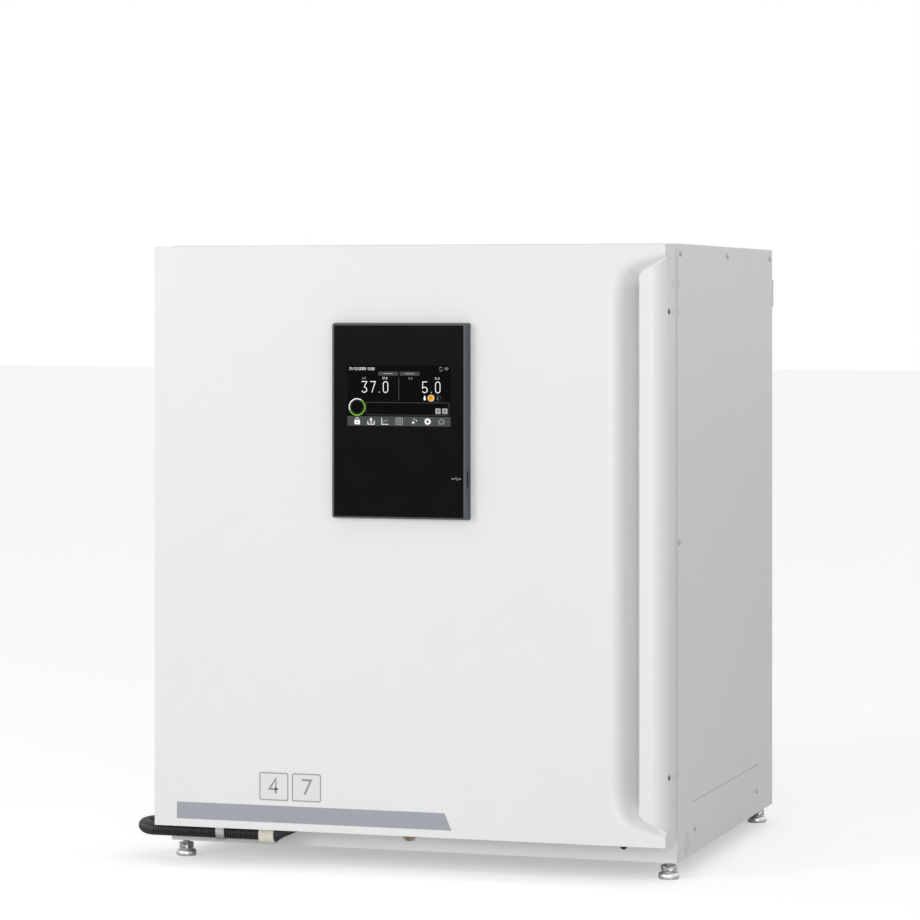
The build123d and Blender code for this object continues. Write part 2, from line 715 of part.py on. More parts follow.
def base_tray():
    """The bottom tray: a floor, upright walls with a ledge, and a threaded bush over each foot."""
    x = half_width - sheet
    y = (cabinet_front + sheet, overall_depth - sheet)
    z = (foot_height, foot_height + base_height)
    outer = slab((-x, x), y, z)
    inner = slab((-x + sheet, x - sheet), (y[0] + sheet, y[1] - sheet), (z[0] + sheet, z[1] - sheet))
    opening = slab((-x + base_ledge, x - base_ledge), (y[0] + base_ledge, y[1] - base_ledge),
                   (z[0] + base_height / 2, z[1] + 5))
    body = outer - inner - opening
    for place in foot_places().values():
        bush = rod(foot_bush_radius, (place[0], place[1], foot_height + sheet / 2), (0, 0, 1), foot_bush_height)
        body = body + bush
    for place in foot_places().values():
        bore = foot_stud_radius + running_gap
        body = body - rod(bore, (place[0], place[1], foot_height - 5), (0, 0, 1), foot_bush_height + 2)
    port = half_width - sheet * 2 - 5
    body = body - rod(port_plug_radius - 1, (port, port_plug_y, port_plug_z), (1, 0, 0), 15)
    body = body - rod(conduit_radius + 3, (-port, conduit_hole_y, conduit_height), (-1, 0, 0), 15)
    return body


def levelling_foot(place):
    """A steel levelling foot: pad, neck, hexagon and the stud in the base tray's bush."""
    top = foot_height + foot_bush_height - 5
    profile = [
        (0, 0), (14, 0), (14.8, 1.2), (14.8, 6.5), (13.4, 9), (8, 10.2), (6.4, 11.4), (6.4, 12),
        (6.4, 19.6), (foot_stud_radius, 20.2), (foot_stud_radius, top), (0, top),
    ]
    body = turned(profile, (place[0], place[1], 0), (0, 0, 1))
    hexagon = extrude(along((place[0], place[1], 11.5), (0, 0, 1)) * RegularPolygon(foot_hexagon / 2, 6, major_radius=False),
                      amount=8.0)
    return body + hexagon


def insulation_boards():
    """Foam boards round the chamber, butted against each other; the rear is four, fitted round the port."""
    x = half_width - 2 * sheet - seat_gap
    liner_x = chamber_half + liner_sheet + seat_gap
    bottom = foot_height + base_height
    floor = chamber_floor - liner_sheet - seat_gap
    ceiling = chamber_top + liner_sheet + seat_gap
    top = cabinet_height - sheet - seat_gap
    y = (flange_y + liner_sheet, insulation_rear_y + rear_insulation)
    side_y = (y[0], insulation_rear_y)
    left = slab((-x, -liner_x), side_y, (floor, ceiling))
    right = slab((liner_x, x), side_y, (floor, ceiling))
    upper = slab((-x, x), y, (ceiling, top))
    lower = slab((-x, x), y, (bottom, floor))
    rear_y = (insulation_rear_y, y[1])
    tube = port_tube_radius + port_tube_wall + seat_gap
    notch_x = (port_place[0] - tube, port_place[0] + tube)
    notch_z = (port_place[1] - tube, port_place[1] + tube)
    beside_port = slab((-x, notch_x[0]), rear_y, (floor, ceiling))
    below_port = slab(notch_x, rear_y, (floor, notch_z[0]))
    above_port = slab(notch_x, rear_y, (notch_z[1], ceiling))
    rear = slab((notch_x[1], x), rear_y, (floor, ceiling))
    shaft = fan_shaft_radius + 4
    rear = rear - rod(shaft, (0, insulation_rear_y - 5, fan_height), (0, 1, 0), rear_insulation + 10)
    return [left, right, upper, lower, beside_port, below_port, above_port, rear]


def chamber_liner():
    """The stainless chamber: a box with rounded corners, open at the front, with a flat flange."""
    x = chamber_half
    z = (chamber_floor, chamber_top)
    inner = slab((-x, x), (flange_y - 30, chamber_rear), z)
    inner = fillet(inner.edges().filter_by(Axis.Y), chamber_radius)
    inner = fillet(inner.faces().sort_by(Axis.Y)[-1].edges(), chamber_radius * 0.8)
    t = liner_sheet
    outer = slab((-x - t, x + t), (flange_y, chamber_rear + t), (z[0] - t, z[1] + t))
    outer = fillet(outer.edges().filter_by(Axis.Y), chamber_radius + t)
    outer = fillet(outer.faces().sort_by(Axis.Y)[-1].edges(), chamber_radius * 0.8 + t)
    edge = seat_gap
    flange = slab((-recess_x + edge, recess_x - edge), (flange_y, flange_y + t),
                  (recess_bottom + edge, recess_top - edge))
    body = outer + flange - inner
    shaft = fan_shaft_radius + 4
    body = body - rod(shaft, (0, chamber_rear - 5, fan_height), (0, 1, 0), 10)
    tube = port_tube_radius + port_tube_wall + seat_gap
    body = body - rod(tube, (port_place[0], chamber_rear - 5, port_place[1]), (0, 1, 0), 10)
    return body


def chamber_gasket():
    """The silicone gasket on the chamber's flange, behind the glass."""
    outer = glass_x - 2.5
    inner = outer - chamber_gasket_width
    z = (glass_z[0] + 2.5, glass_z[1] - 2.5)
    inner_z = (z[0] + chamber_gasket_width, z[1] - chamber_gasket_width)
    return ring_plate((-outer, outer), z, (-inner, inner), inner_z,
                      (flange_y - chamber_gasket_thickness, flange_y), (20, 12))


def shelf_frames():
    """Four upright posts on the chamber's walls and a ledge rail each side of every shelf."""
    pieces = []
    wall = chamber_half - seat_gap
    post_inner = wall - post_depth
    rail_outer = post_inner
    rail_y = (shelf_front_y + 8, shelf_rear_y - 8)
    low = chamber_floor + chamber_radius
    high = chamber_top - chamber_radius
    for side in (-1, 1):
        for y in (shelf_front_y + 60, shelf_rear_y - 60):
            outer = sorted((side * wall, side * post_inner))
            post = slab(outer, (y - post_width / 2, y + post_width / 2), (low, high))
            hollow = sorted((side * (wall + 1), side * (post_inner + rail_sheet)))
            post = post - slab(hollow, (y - post_width / 2 + rail_sheet, y + post_width / 2 - rail_sheet),
                               (low - 1, high + 1))
            pieces.append(post)
        for height in shelf_heights:
            ledge_x = sorted((side * rail_outer, side * (rail_outer - rail_ledge)))
            ledge = slab(ledge_x, rail_y, (height - rail_sheet, height))
            web_x = sorted((side * rail_outer, side * (rail_outer - rail_sheet)))
            web = slab(web_x, rail_y, (height - 14, height + 1))
            pieces.append(ledge + web)
    return pieces


def shelf(height):
    """A perforated shelf with a raised rim at the back and turned-down front and sides."""
    x = shelf_half
    y = (shelf_front_y, shelf_rear_y)
    z = (height, height + shelf_sheet)
    side_clear = rail_ledge
    plate = slab((-x, x), y, z)
    slots = []
    pitch_x = (2 * x - 2 * side_clear - 20) / shelf_slots_across
    pitch_y = (y[1] - y[0] - 30) / shelf_slots_deep
    for column in range(shelf_slots_across):
        for row in range(shelf_slots_deep):
            centre_x = (column - (shelf_slots_across - 1) / 2) * pitch_x
            centre_y = (y[0] + y[1]) / 2 + (row - (shelf_slots_deep - 1) / 2) * pitch_y
            slots.append(slab((centre_x - shelf_slot[1] / 2, centre_x + shelf_slot[1] / 2),
                              (centre_y - shelf_slot[0] / 2, centre_y + shelf_slot[0] / 2),
                              (z[0] - 1, z[1] + 1)))
    plate = plate - slots
    rear = slab((-x, x), (y[1] - shelf_sheet, y[1]), (z[0], z[0] + shelf_rim))
    inner_x = x - side_clear - shelf_sheet - 1
    front = slab((-inner_x, inner_x), (y[0], y[0] + shelf_sheet), (z[0] - shelf_rim, z[1]))
    return plate + rear + front


def humidity_pan():
    """The water pan on the chamber floor, a shallow tray with a rolled rim."""
    x, y = pan_half, pan_y
    z = (chamber_floor + seat_gap, chamber_floor + seat_gap + pan_height)
    outer = slab((-x, x), y, z)
    outer = fillet(outer.edges().filter_by(Axis.Z), pan_corner)
    inner = slab((-x + pan_wall, x - pan_wall), (y[0] + pan_wall, y[1] - pan_wall), (z[0] + pan_wall, z[1] + 5))
    inner = fillet(inner.edges().filter_by(Axis.Z), pan_corner - pan_wall)
    return outer - inner


def pan_cover():
    """The lid over the front of the pan; the open rear lets the water evaporate."""
    x = pan_half
    y = (pan_y[0], pan_y[0] + (pan_y[1] - pan_y[0]) * 0.72)
    z0 = chamber_floor + seat_gap + pan_height
    plate = slab((-x, x), y, (z0, z0 + pan_wall))
    return fillet(plate.edges().filter_by(Axis.Z).sort_by(Axis.Y)[:2], pan_corner)


def rear_duct():
    """The air duct's cover on the chamber's back wall: a shallow pan with a fan inlet and outlets."""
    x = duct_width / 2
    y = (chamber_rear - duct_depth, chamber_rear - seat_gap)
    outer = slab((-x, x), y, duct_height)
    inner = slab((-x + 1, x - 1), (y[0] + 1, y[1] + 1), (duct_height[0] + 1, duct_height[1] - 1))
    body = outer - inner
    for step in range(7):
        z = fan_height + (step - 3) * 12.0
        half = sqrt(max(fan_inlet_radius**2 - ((step - 3) * 12.0)**2, 400.0))
        body = body - slab((-half, half), (y[0] - 1, y[0] + 2), (z - 3.5, z + 3.5))
    for column in range(-3, 4):
        outlet_z = (duct_height[0] + 11, duct_height[0] + 19)
        body = body - slab((column * 50.0 - 18, column * 50.0 + 18), (y[0] - 1, y[0] + 2), outlet_z)
    return body


def fan_front():
    """Where the impeller starts, behind the duct's face."""
    return chamber_rear - duct_depth + 6


def fan_impeller():
    """A centrifugal impeller: back disc, hub, upright blades and the shaft to the motor."""
    y0 = fan_front()
    disc = rod(fan_radius, (0, y0 + fan_depth - 2, fan_height), (0, 1, 0), 2)
    hub = rod(11, (0, y0 + 2, fan_height), (0, 1, 0), fan_depth - 2)
    body = disc + hub
    blades = []
    for index in range(fan_blades):
        angle = 360.0 / fan_blades * index
        blade = Pos(fan_radius - 9, 0, 0) * Rot(0, 0, 35) * Box(14, 1.4, fan_depth - 1)
        blades.append(Pos(0, at(y0 + (fan_depth - 1) / 2), fan_height) * Rot(90, 0, 0) * Rot(0, 0, angle) * blade)
    body = body + blades
    shaft_end = insulation_rear_y + rear_insulation + 8
    return body + rod(fan_shaft_radius, (0, y0 + fan_depth - 1, fan_height), (0, 1, 0), shaft_end - y0 - fan_depth)


def fan_motor():
    """The fan's motor behind the rear insulation, with its mounting flange."""
    y0 = insulation_rear_y + rear_insulation + seat_gap
    flange = front_plate(rounded((-44, 44), (fan_height - 44, fan_height + 44), 10), (y0, y0 + 3))
    can = rod(fan_motor_radius, (0, y0 + 3, fan_height), (0, 1, 0), fan_motor_length)
    bore = rod(fan_shaft_radius + running_gap, (0, y0 - 1, fan_height), (0, 1, 0), 14)
    return flange + can - bore


def uv_lamp():
    """The germicidal lamp across the foot of the duct, in its two holders."""
    y = chamber_rear - duct_depth / 2
    height = chamber_floor + lamp_lift
    tube = rod(7.5, (-78, y, height), (1, 0, 0), 156)
    for side in (-1, 1):
        x = sorted((side * 70, side * 88))
        tube = tube + slab(x, (y - 10, chamber_rear - seat_gap), (height - 11, height + 11))
    return tube


def chamber_sensors():
    """The gas sensor under the ceiling and the temperature probe on the back wall."""
    y = chamber_rear - duct_depth - sensor_forward
    gas = turned([(0, 0), (22, 0), (22, 5), (13, 7), (13, 34), (10, 38), (0, 38)],
                 (sensor_x, y, chamber_top - seat_gap), (0, 0, -1))
    probe = turned([(0, 0), (9, 0), (9, 4), (2.5, 5), (2.5, 58), (1.5, 60), (0, 60)],
                   (sensor_x, chamber_rear - seat_gap, fan_height), (0, -1, 0))
    return [gas, probe]


def access_port_sleeve():
    """The tube of the access port, through the rear insulation, with a flange outside."""
    outer = port_tube_radius + port_tube_wall
    start = chamber_rear
    length = overall_depth - start + 2
    tube = rod(outer, (port_place[0], start, port_place[1]), (0, 1, 0), length)
    flange = rod(outer + 7, (port_place[0], overall_depth, port_place[1]), (0, 1, 0), 2)
    return tube + flange - rod(port_tube_radius, (port_place[0], start - 1, port_place[1]), (0, 1, 0), length + 5)


def access_port_stopper():
    """The silicone stopper in the port, with a grip head outside."""
    start = overall_depth + 2 + seat_gap
    shank = port_tube_radius - seat_gap
    return turned([(0, -70), (shank - 1.5, -70), (shank, -60), (shank, 0), (20, 0), (20, 6), (17, 9), (0, 9)],
                  (port_place[0], start, port_place[1]), (0, 1, 0))


def side_cover():
    """The flush service cover low on the right side, with a folded edge inside."""
    gap = panel_line
    y = (side_cover_y[0] + gap, side_cover_y[1] - gap)
    z = (foot_height, side_cover_top - gap)
    x = (half_width - sheet, half_width)
    plate = slab(x, y, z)
    corner = plate.edges().filter_by(Axis.X).group_by(Axis.Z)[-1].sort_by(Axis.Y)[-1]
    plate = fillet(corner, side_cover_corner)
    for y, z in cover_screw_places:
        plate = plate - screw_hole((half_width + 1, y, z), (1, 0, 0), 5)
    return plate


def cabinet_plugs():
    """Plugs and bushes in the sides: spare hinge holes, the right port and the conduit's bush."""
    pieces = []
    y = cabinet_front + hinge_cabinet_screw
    for height in hinge_heights:
        for side in (-1, 1):
            pieces.append(turned(
                [(0, 0), (plug_radius, 0), (plug_radius, plug_rise * 0.4), (plug_radius - 1.5, plug_rise),
                 (0, plug_rise)], (half_width, y, height + side * hinge_pitch / 2), (1, 0, 0)))
    r = port_plug_radius
    pieces.append(turned([(0, -4), (r - 1.3, -4), (r - 1.3, 0), (r, 0), (r, 0.8), (r - 1.2, plug_rise),
                          (0, plug_rise)], (half_width, port_plug_y, port_plug_z), (1, 0, 0)))
    inner = conduit_radius + seat_gap
    pieces.append(turned([(inner, -5), (inner + 2.4, -5), (inner + 2.4, 0), (inner + 5, 0), (inner + 4, 2.5),
                          (inner, 2.5)], (-half_width, conduit_hole_y, conduit_height), (-1, 0, 0)))
    return pieces


def cabinet_screws():
    """Screws on the cabinet's sides, on the service cover and on the rear cover."""
    pieces = []
    for side in (-1, 1):
        for y, z in side_screw_places:
            pieces.append(screw((side * half_width, y, z), (side, 0, 0), sheet))
    for y, z in cover_screw_places:
        pieces.append(screw((half_width, y, z), (1, 0, 0), sheet))
    for x, z in rear_screw_places:
        pieces.append(screw((x, overall_depth + cover_rise, z), (0, 1, 0), cover_rise))
    return pieces


def rear_hooks():
    """Two bent hooks at the upper rear corners, for straps and leads."""
    pieces = []
    z = (cabinet_height - hook_top_drop - hook_height, cabinet_height - hook_top_drop)
    thick = hook_sheet
    end = overall_depth + hook_reach
    for side in (-1, 1):
        outer = half_width - sheet
        base = slab(sorted((side * outer, side * (outer - 30))), (overall_depth, overall_depth + thick), z)
        arm = slab(sorted((side * outer, side * (outer - thick))), (overall_depth, end), z)
        tip = slab(sorted((side * outer, side * (outer - hook_tip))), (end - thick, end), z)
        pieces.append(base + arm + tip)
    return pieces


def power_inlet():
    """The mains inlet with its three blades, and the frame of the power switch above it."""
    x = (inlet_hole_x[0] + seat_gap, inlet_hole_x[1] - seat_gap)
    z = (inlet_hole_z[0] + seat_gap, inlet_hole_z[1] - seat_gap)
    back = overall_depth - 24
    body = slab(x, (back, overall_depth), z)
    body = body + slab((x[0] - 4, x[1] + 4), (overall_depth, overall_depth + 2), (z[0] - 4, z[1] + 4))
    middle = (x[0] + x[1]) / 2
    socket_z = (z[0] + 5, z[0] + 29)
    body = body - slab((middle - 14, middle + 14), (back + 4, overall_depth + 5), socket_z)
    body = body - slab((middle - switch_half_x - seat_gap, middle + switch_half_x + seat_gap),
                       (back + 4, overall_depth + 5), (switch_z[0] - seat_gap, switch_z[1] + seat_gap))
    pin_start = (middle - switch_half_x - 3, switch_axis_y, (switch_z[0] + switch_z[1]) / 2)
    body = body - rod(switch_pin_radius + running_gap, pin_start, (1, 0, 0), 2 * switch_half_x + 6)
    for offset, lift in ((-7, 0), (0, 4), (7, 0)):
        blade_z = socket_z[0] + 10 + lift
        body = body + slab((middle + offset - 1, middle + offset + 1), (back + 3, overall_depth - 4),
                           (blade_z - 2.5, blade_z + 2.5))
    return body


def power_switch():
    """The rocker of the power switch, tilted to its off side about its middle."""
    middle = (inlet_hole_x[0] + inlet_hole_x[1]) / 2
    centre_z = (switch_z[0] + switch_z[1]) / 2
    half = (switch_z[1] - switch_z[0]) / 2 - 1.5
    face = make_face(Polyline((-half, 2), (-half, 7.5), (0, 5.5), (half, 7.5), (half, 2), (0, -6), close=True))
    plane = Plane(origin=(middle - switch_half_x + 0.5, at(switch_axis_y), centre_z), x_dir=(0, 0, 1),
                  z_dir=(-1, 0, 0))
    body = extrude(plane * face, amount=-(2 * switch_half_x - 1))
    pin_start = (middle - switch_half_x - 2.5, switch_axis_y, centre_z)
    body = body + rod(switch_pin_radius, pin_start, (1, 0, 0), 2 * switch_half_x + 5)
    axle = Axis((middle, at(switch_axis_y), centre_z), (1, 0, 0))
    return body.rotate(axle, switch_tilt)


def gas_nipples():
    """The two hose nipples for the gas supply, with a hexagon against the rear sheet."""
    pieces = []
    for height in nipple_heights:
        start = overall_depth
        tail = nipple_radius - 0.3
        stem = turned([(0, -14), (tail, -14), (tail, 0), (7, 0), (7, 4.5), (nipple_radius, 5),
                       (nipple_radius, 13), (nipple_radius - 0.8, 14.5), (0, 14.5)],
                      (nipple_x, start, height), (0, 1, 0))
        pieces.append(stem)
    return pieces


def front_cap():
    """The round black stop on the cabinet's front, under the door."""
    return turned([(0, 0), (4.6, 0), (4.6, 2), (3.4, 3), (0, 3)], (cap_place[0], cabinet_front, foot_height + cap_place[1]), (0, -1, 0))


def drain_plug():
    """The brass drain fitting under the front of the cabinet."""
    return turned([(0, 0), (11, 0), (11, 3), (9.5, 4.2), (4.5, 4.2), (4.5, 6.5), (0, 6.5)],
                  (drain_place[0], cabinet_front, foot_height + drain_place[1]), (0, -1, 0))


# The inner door

def inner_glass_pane():
    """The inner door's glass with rounded corners and the hole for the latch's pivot."""
    pane = front_plate(rounded((-glass_x, glass_x), glass_z, 10), (glass_front, glass_back))
    hole = rod(latch_pivot_radius + 1, (latch_x(), glass_front - 2, latch_height), (0, 1, 0), inner_glass + 4)
    return pane - hole


def latch_x():
    """The latch's pivot, inboard of the glass's free edge."""
    return glass_x - latch_inset


def inner_hinge_leaves():
    """The inner door's hinge plates on the glass, with their knuckles."""
    pieces = []
    for height in inner_hinge_heights:
        plate_y = (glass_front - 2.5, glass_front)
        plate = slab((-glass_x - 1, -glass_x + 26), plate_y, (height - inner_hinge_half, height + inner_hinge_half))
        z = (height + seat_gap / 2, height + inner_hinge_half)
        web = slab((inner_axis_x, -glass_x), (glass_front - 4, glass_front - 1.5), z)
        knuckle = rod(inner_knuckle_radius, (inner_axis_x, inner_axis_y, z[0]), (0, 0, 1), z[1] - z[0])
        body = plate + web + knuckle
        bore = fan_shaft_radius - 1 + running_gap
        body = body - rod(bore, (inner_axis_x, inner_axis_y, z[0] - 1), (0, 0, 1), inner_hinge_half - 3)
        pieces.append(body)
    return pieces


def inner_hinge_brackets():
    """The cabinet side of the inner hinges: a plate on the recess wall, knuckle and pin."""
    pieces = []
    for height in inner_hinge_heights:
        wall = (-recess_x, -recess_x + 2)
        plate = slab(wall, (cabinet_front + 2, flange_y - 2), (height - inner_hinge_half, height - seat_gap / 2))
        z = (height - inner_hinge_half, height - seat_gap / 2)
        web = slab((-recess_x, inner_axis_x), (inner_axis_y - 1.5, inner_axis_y + 1.5), z)
        knuckle = rod(inner_knuckle_radius, (inner_axis_x, inner_axis_y, z[0]), (0, 0, 1), z[1] - z[0])
        pin = rod(fan_shaft_radius - 1, (inner_axis_x, inner_axis_y, z[0]), (0, 0, 1),
                  2 * inner_hinge_half - 6)
        pieces.append(plate + web + knuckle + pin)
    return pieces


def latch_plate():
    """The latch's base on the glass: a plate in front, a nut plate behind and the bush between."""
    x = latch_x()
    z = (latch_height - 26, latch_height + 26)
    front = front_plate(rounded((x - 13, x + 13), z, 6), (glass_front - 2.5, glass_front))
    bush = rod(latch_pivot_radius + 0.8, (x, glass_front, latch_height), (0, 1, 0), inner_glass)
    bore = rod(latch_pivot_radius - 1 + running_gap, (x, glass_front - 5, latch_height), (0, 1, 0),
               inner_glass + 3)
    return front + bush - bore


def latch_lever():
    """The latch's lever: handle upwards and tongue downwards when it is off the keeper."""
    x = latch_x()
    back = glass_front - 2.5 - seat_gap
    tongue = slab((x - 7, x + 7), (back - latch_tongue, back), (latch_height - latch_reach, latch_height))
    boss = rod(12, (x, back - 8, latch_height), (0, 1, 0), 8)
    handle = front_plate(rounded((x - 6, x + 6), (latch_height - 6, latch_height + 62), 5.9),
                         (back - 12, back - 6))
    pivot = rod(latch_pivot_radius - 1, (x, back - 2, latch_height), (0, 1, 0), 2 + seat_gap + 2.5 + 3)
    return tongue + boss + handle + pivot


def latch_keeper():
    """The keeper on the recess wall, which the tongue turns behind."""
    back = glass_front - 2.5 - seat_gap
    front_y2 = back - latch_tongue - 0.5
    z = (latch_height - 12, latch_height + 12)
    arm = slab((latch_x() + latch_reach - 10, recess_x), (front_y2 - 2, front_y2), z)
    foot = slab((recess_x - 2, recess_x), (front_y2 - 2, flange_y - 4), z)
    return arm + foot


# The conduit

def conduit_route():
    """The conduit's free loop beside the door's foot: from the door's run to the bush in the left side."""
    reach = (conduit_hole_y - conduit_y) / 2
    side = -half_width
    corner = reach * tan(radians(30))
    outer = reach / cos(radians(30))
    middle = (conduit_y + conduit_hole_y) / 2
    return [
        (side, conduit_y), (side - corner, conduit_y), (side - outer, middle),
        (side - corner, conduit_hole_y), (side + 4, conduit_hole_y),
    ]


def conduit_loop():
    """The loop's tube: straight runs joined by tangent arcs, as tight as the clips make it."""
    points = [(x, at(y), conduit_height) for x, y in conduit_route()]
    runs = [sqrt(sum((b[i] - a[i])**2 for i in range(3))) for a, b in zip(points, points[1:])]
    radii = [0.45 * min(first, second) / tan(radians(30)) for first, second in zip(runs, runs[1:])]
    print("conduit loop radii", [round(r, 1) for r in radii])
    path = FilletPolyline(*points, radius=radii)
    start = Plane(origin=points[0], z_dir=(-1, 0, 0))
    return sweep(start * Circle(conduit_radius), path=path)


def conduit_run():
    """The straight run under the door, from the boot to the door's left corner."""
    length = conduit_start_x + half_width
    return rod(conduit_radius, (-half_width, conduit_y, conduit_height), (1, 0, 0), length)


def conduit_clamp():
    """The saddle clamp that holds the run under the door."""
    x = (-299.0, -286.0)
    outer = conduit_radius + 1.6
    ring = rod(outer, (x[0], conduit_y, conduit_height), (1, 0, 0), x[1] - x[0])
    neck = slab(x, (conduit_y - outer, conduit_y + outer), (conduit_height, door_bottom))
    foot = slab(x, (conduit_y - outer, conduit_y + outer + 12), (door_bottom - 1.5, door_bottom))
    above = slab((x[0] - 1, x[1] + 1), (0, door_thickness + 20), (door_bottom, door_bottom + 20))
    return ring + neck + foot - rod(conduit_radius, (x[0] - 1, conduit_y, conduit_height), (1, 0, 0), 20) - above


def conduit_boot():
    """The cream sleeve on the conduit's end and the wedge that takes the wires up into the door."""
    sleeve_x = (-231.0, -208.6)
    outer = conduit_radius + 4
    sleeve = rod(outer, (sleeve_x[0], conduit_y, conduit_height), (1, 0, 0), sleeve_x[1] - sleeve_x[0])
    sleeve = sleeve - rod(conduit_radius, (sleeve_x[0] - 1, conduit_y, conduit_height), (1, 0, 0), 60)
    sleeve = sleeve - slab((sleeve_x[0] - 1, sleeve_x[1] + 1), (0, 60), (door_bottom, door_bottom + 30))
    low = conduit_height - conduit_radius - 1.5
    wedge = make_face(Polyline(
        (sleeve_x[1] + 1, low), (sleeve_x[1] + 10, low), (-171.0, door_bottom - 5), (-165.0, door_bottom),
        (sleeve_x[1] + 1, door_bottom), close=True,
    ))
    half = conduit_radius + 1.5
    block = front_plate(wedge, (conduit_y - half, conduit_y + half))
    bore = rod(conduit_radius + running_gap, (sleeve_x[1] - 5, conduit_y, conduit_height), (1, 0, 0),
               conduit_start_x - sleeve_x[1] + 5 + running_gap)
    return sleeve, block - bore


def build():
    """Writes every node."""
    os.makedirs("parts", exist_ok=True)
    save("door_outer_shell", door_shell())
    save("door_insulation", door_foam())
    save("door_inner_panel", door_inner_panel())
    save("door_gasket", door_gasket())
    save("hinge_door_leaves", *hinge_leaf_pair(True))
    save("hinge_cabinet_leaves", *hinge_leaf_pair(False))
    save("control_bezel", control_bezel())
    save("control_glass", control_glass())
    save("display_module", display_module())
    save("usb_socket", usb_socket())
    plugs, screws = door_side_fittings()
    save("door_hole_plugs", *plugs)
    save("door_side_screws", *screws)
    save("front_frame", front_frame())
    save("side_panel_left", side_panel(-1))
    save("side_panel_right", side_panel(1))
    save("top_panel", top_panel())
    save("rear_panel", rear_panel())
    save("rear_cover", rear_cover())
    save("base_tray", base_tray())
    for name, place in foot_places().items():
        save("levelling_foot_" + name, levelling_foot(place))
    save("insulation_boards", *insulation_boards())
    save("chamber_liner", chamber_liner())
    save("chamber_gasket", chamber_gasket())
    save("shelf_frames", *shelf_frames())
    for index, height in enumerate(shelf_heights):
        save("shelf_" + str(index + 1), shelf(height))
    save("humidity_pan", humidity_pan())
    save("pan_cover", pan_cover())
    save("rear_duct", rear_duct())
    save("fan_impeller", fan_impeller())
    save("fan_motor", fan_motor())
    save("uv_lamp", uv_lamp())
    save("chamber_sensors", *chamber_sensors())
    save("access_port_sleeve", access_port_sleeve())
    save("access_port_stopper", access_port_stopper())
    save("side_cover", side_cover())
    save("cabinet_plugs", *cabinet_plugs())
    save("cabinet_screws", *cabinet_screws())
    save("rear_hooks", *rear_hooks())
    save("power_inlet", power_inlet())
    save("power_switch", power_switch())
    save("gas_nipples", *gas_nipples())
    save("front_cap", front_cap())
    save("drain_plug", drain_plug())
    save("inner_door_glass", inner_glass_pane())
    save("inner_hinge_leaves", *inner_hinge_leaves())
    save("inner_hinge_brackets", *inner_hinge_brackets())
    save("latch_plate", latch_plate())
    save("latch_lever", latch_lever())
    save("latch_keeper", latch_keeper())
    save("conduit_loop", conduit_loop())
    save("conduit_run", conduit_run())
    save("conduit_clamp", conduit_clamp())
    sleeve, wedge = conduit_boot()
    save("conduit_sleeve", sleeve)
    save("conduit_boot", wedge)


build()
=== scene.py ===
"""Looks of the carbon dioxide incubator: finishes, moulded door skin, conduit, marks and studio."""
import json
from math import atan2, cos, pi, radians, sin, tan

import bmesh
import bpy
import numpy as np
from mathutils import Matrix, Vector


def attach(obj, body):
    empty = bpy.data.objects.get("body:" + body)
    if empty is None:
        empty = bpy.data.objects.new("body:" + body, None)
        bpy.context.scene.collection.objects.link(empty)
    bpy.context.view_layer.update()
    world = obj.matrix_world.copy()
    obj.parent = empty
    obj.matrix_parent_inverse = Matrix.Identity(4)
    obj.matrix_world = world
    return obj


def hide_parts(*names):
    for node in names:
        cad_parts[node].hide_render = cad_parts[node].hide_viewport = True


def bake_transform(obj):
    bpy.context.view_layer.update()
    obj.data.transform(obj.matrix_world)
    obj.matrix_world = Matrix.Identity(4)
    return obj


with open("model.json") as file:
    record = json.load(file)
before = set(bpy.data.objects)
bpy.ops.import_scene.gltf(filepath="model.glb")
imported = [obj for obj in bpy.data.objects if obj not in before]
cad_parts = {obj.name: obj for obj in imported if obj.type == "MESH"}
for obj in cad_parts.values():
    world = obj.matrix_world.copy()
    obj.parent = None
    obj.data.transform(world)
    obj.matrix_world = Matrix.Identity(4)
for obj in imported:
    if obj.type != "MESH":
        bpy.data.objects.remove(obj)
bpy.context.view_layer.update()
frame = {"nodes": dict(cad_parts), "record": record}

# Sizes in millimetres. X runs right, Y is the depth behind the door's front face, Z is up.
millimetre = 0.001
front_face = -352.0          # the door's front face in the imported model
half_width = 385.0
door_bottom = 55.9
door_top = 903.2
door_thickness = 60.0
door_middle = (door_bottom + door_top) / 2
door_wall = 2.4              # the moulded cover's wall, as its rim shows it
door_rim = 6.0               # how far the rim goes in from the back

# Grip moulded into the door's opening edge
lip_edge = 346.5             # the lip's free edge
lip_radius = 28.0            # rounding of the lip into the side
lip_wall = 5.0
lip_end = 76.5               # height of the lip's lower end at the side
lip_slope = 28.0             # degrees, its slanted ends
lip_corner = 13.0            # rounding between its slanted end and its upright edge
dish_edge = 297.0            # the dish's outer edge, where it is upright
dish_roll = 30.0             # rounding of the flat front into the dish
dish_angle = 56.0            # degrees, slope of the dish's wall
dish_depth = 36.0
dish_floor_radius = 8.0
dish_end = 67.1              # height of the dish's lower end at the side
dish_near = (354.7, 70.7)    # its lower end is straight from the side to this X and Z
dish_handles = ((316.0, 80.0), (dish_edge, 93.0))
grip_upright = 147.0         # from this height up both edges are upright
pocket_low = 110.0           # the finger space behind the lip starts here

# Control panel
panel_box = (-107.1, 511.0, 99.5, 792.0)     # its left, bottom, right and top
pane_inset = (5.9, 3.5)      # from the panel's outline to the glass
glass_depth = -16.0
glass_thickness = 1.5
mark_gap = 0.12              # the screen's field stands this far in front of the glass
layer_gap = 0.08             # and each further layer of marks this far in front of the last
ink = 0.05                   # thickness of a mark

# What the screen shows
screen_x = (-80.5, 74.5)
screen_z = (644.5, 731.0)
bar_top = 658.1
reading_z = (692.4, 707.9)
caption_z = (711.3, 714.2)
clock_z = (724.5, 727.9)
ring_centre = (-66.1, 671.3)
ring_radius = 11.8
symbol_x = (-65.9, -44.9, -23.8, -2.6, 19.7, 40.2, 61.0)
symbol_z = 651.3

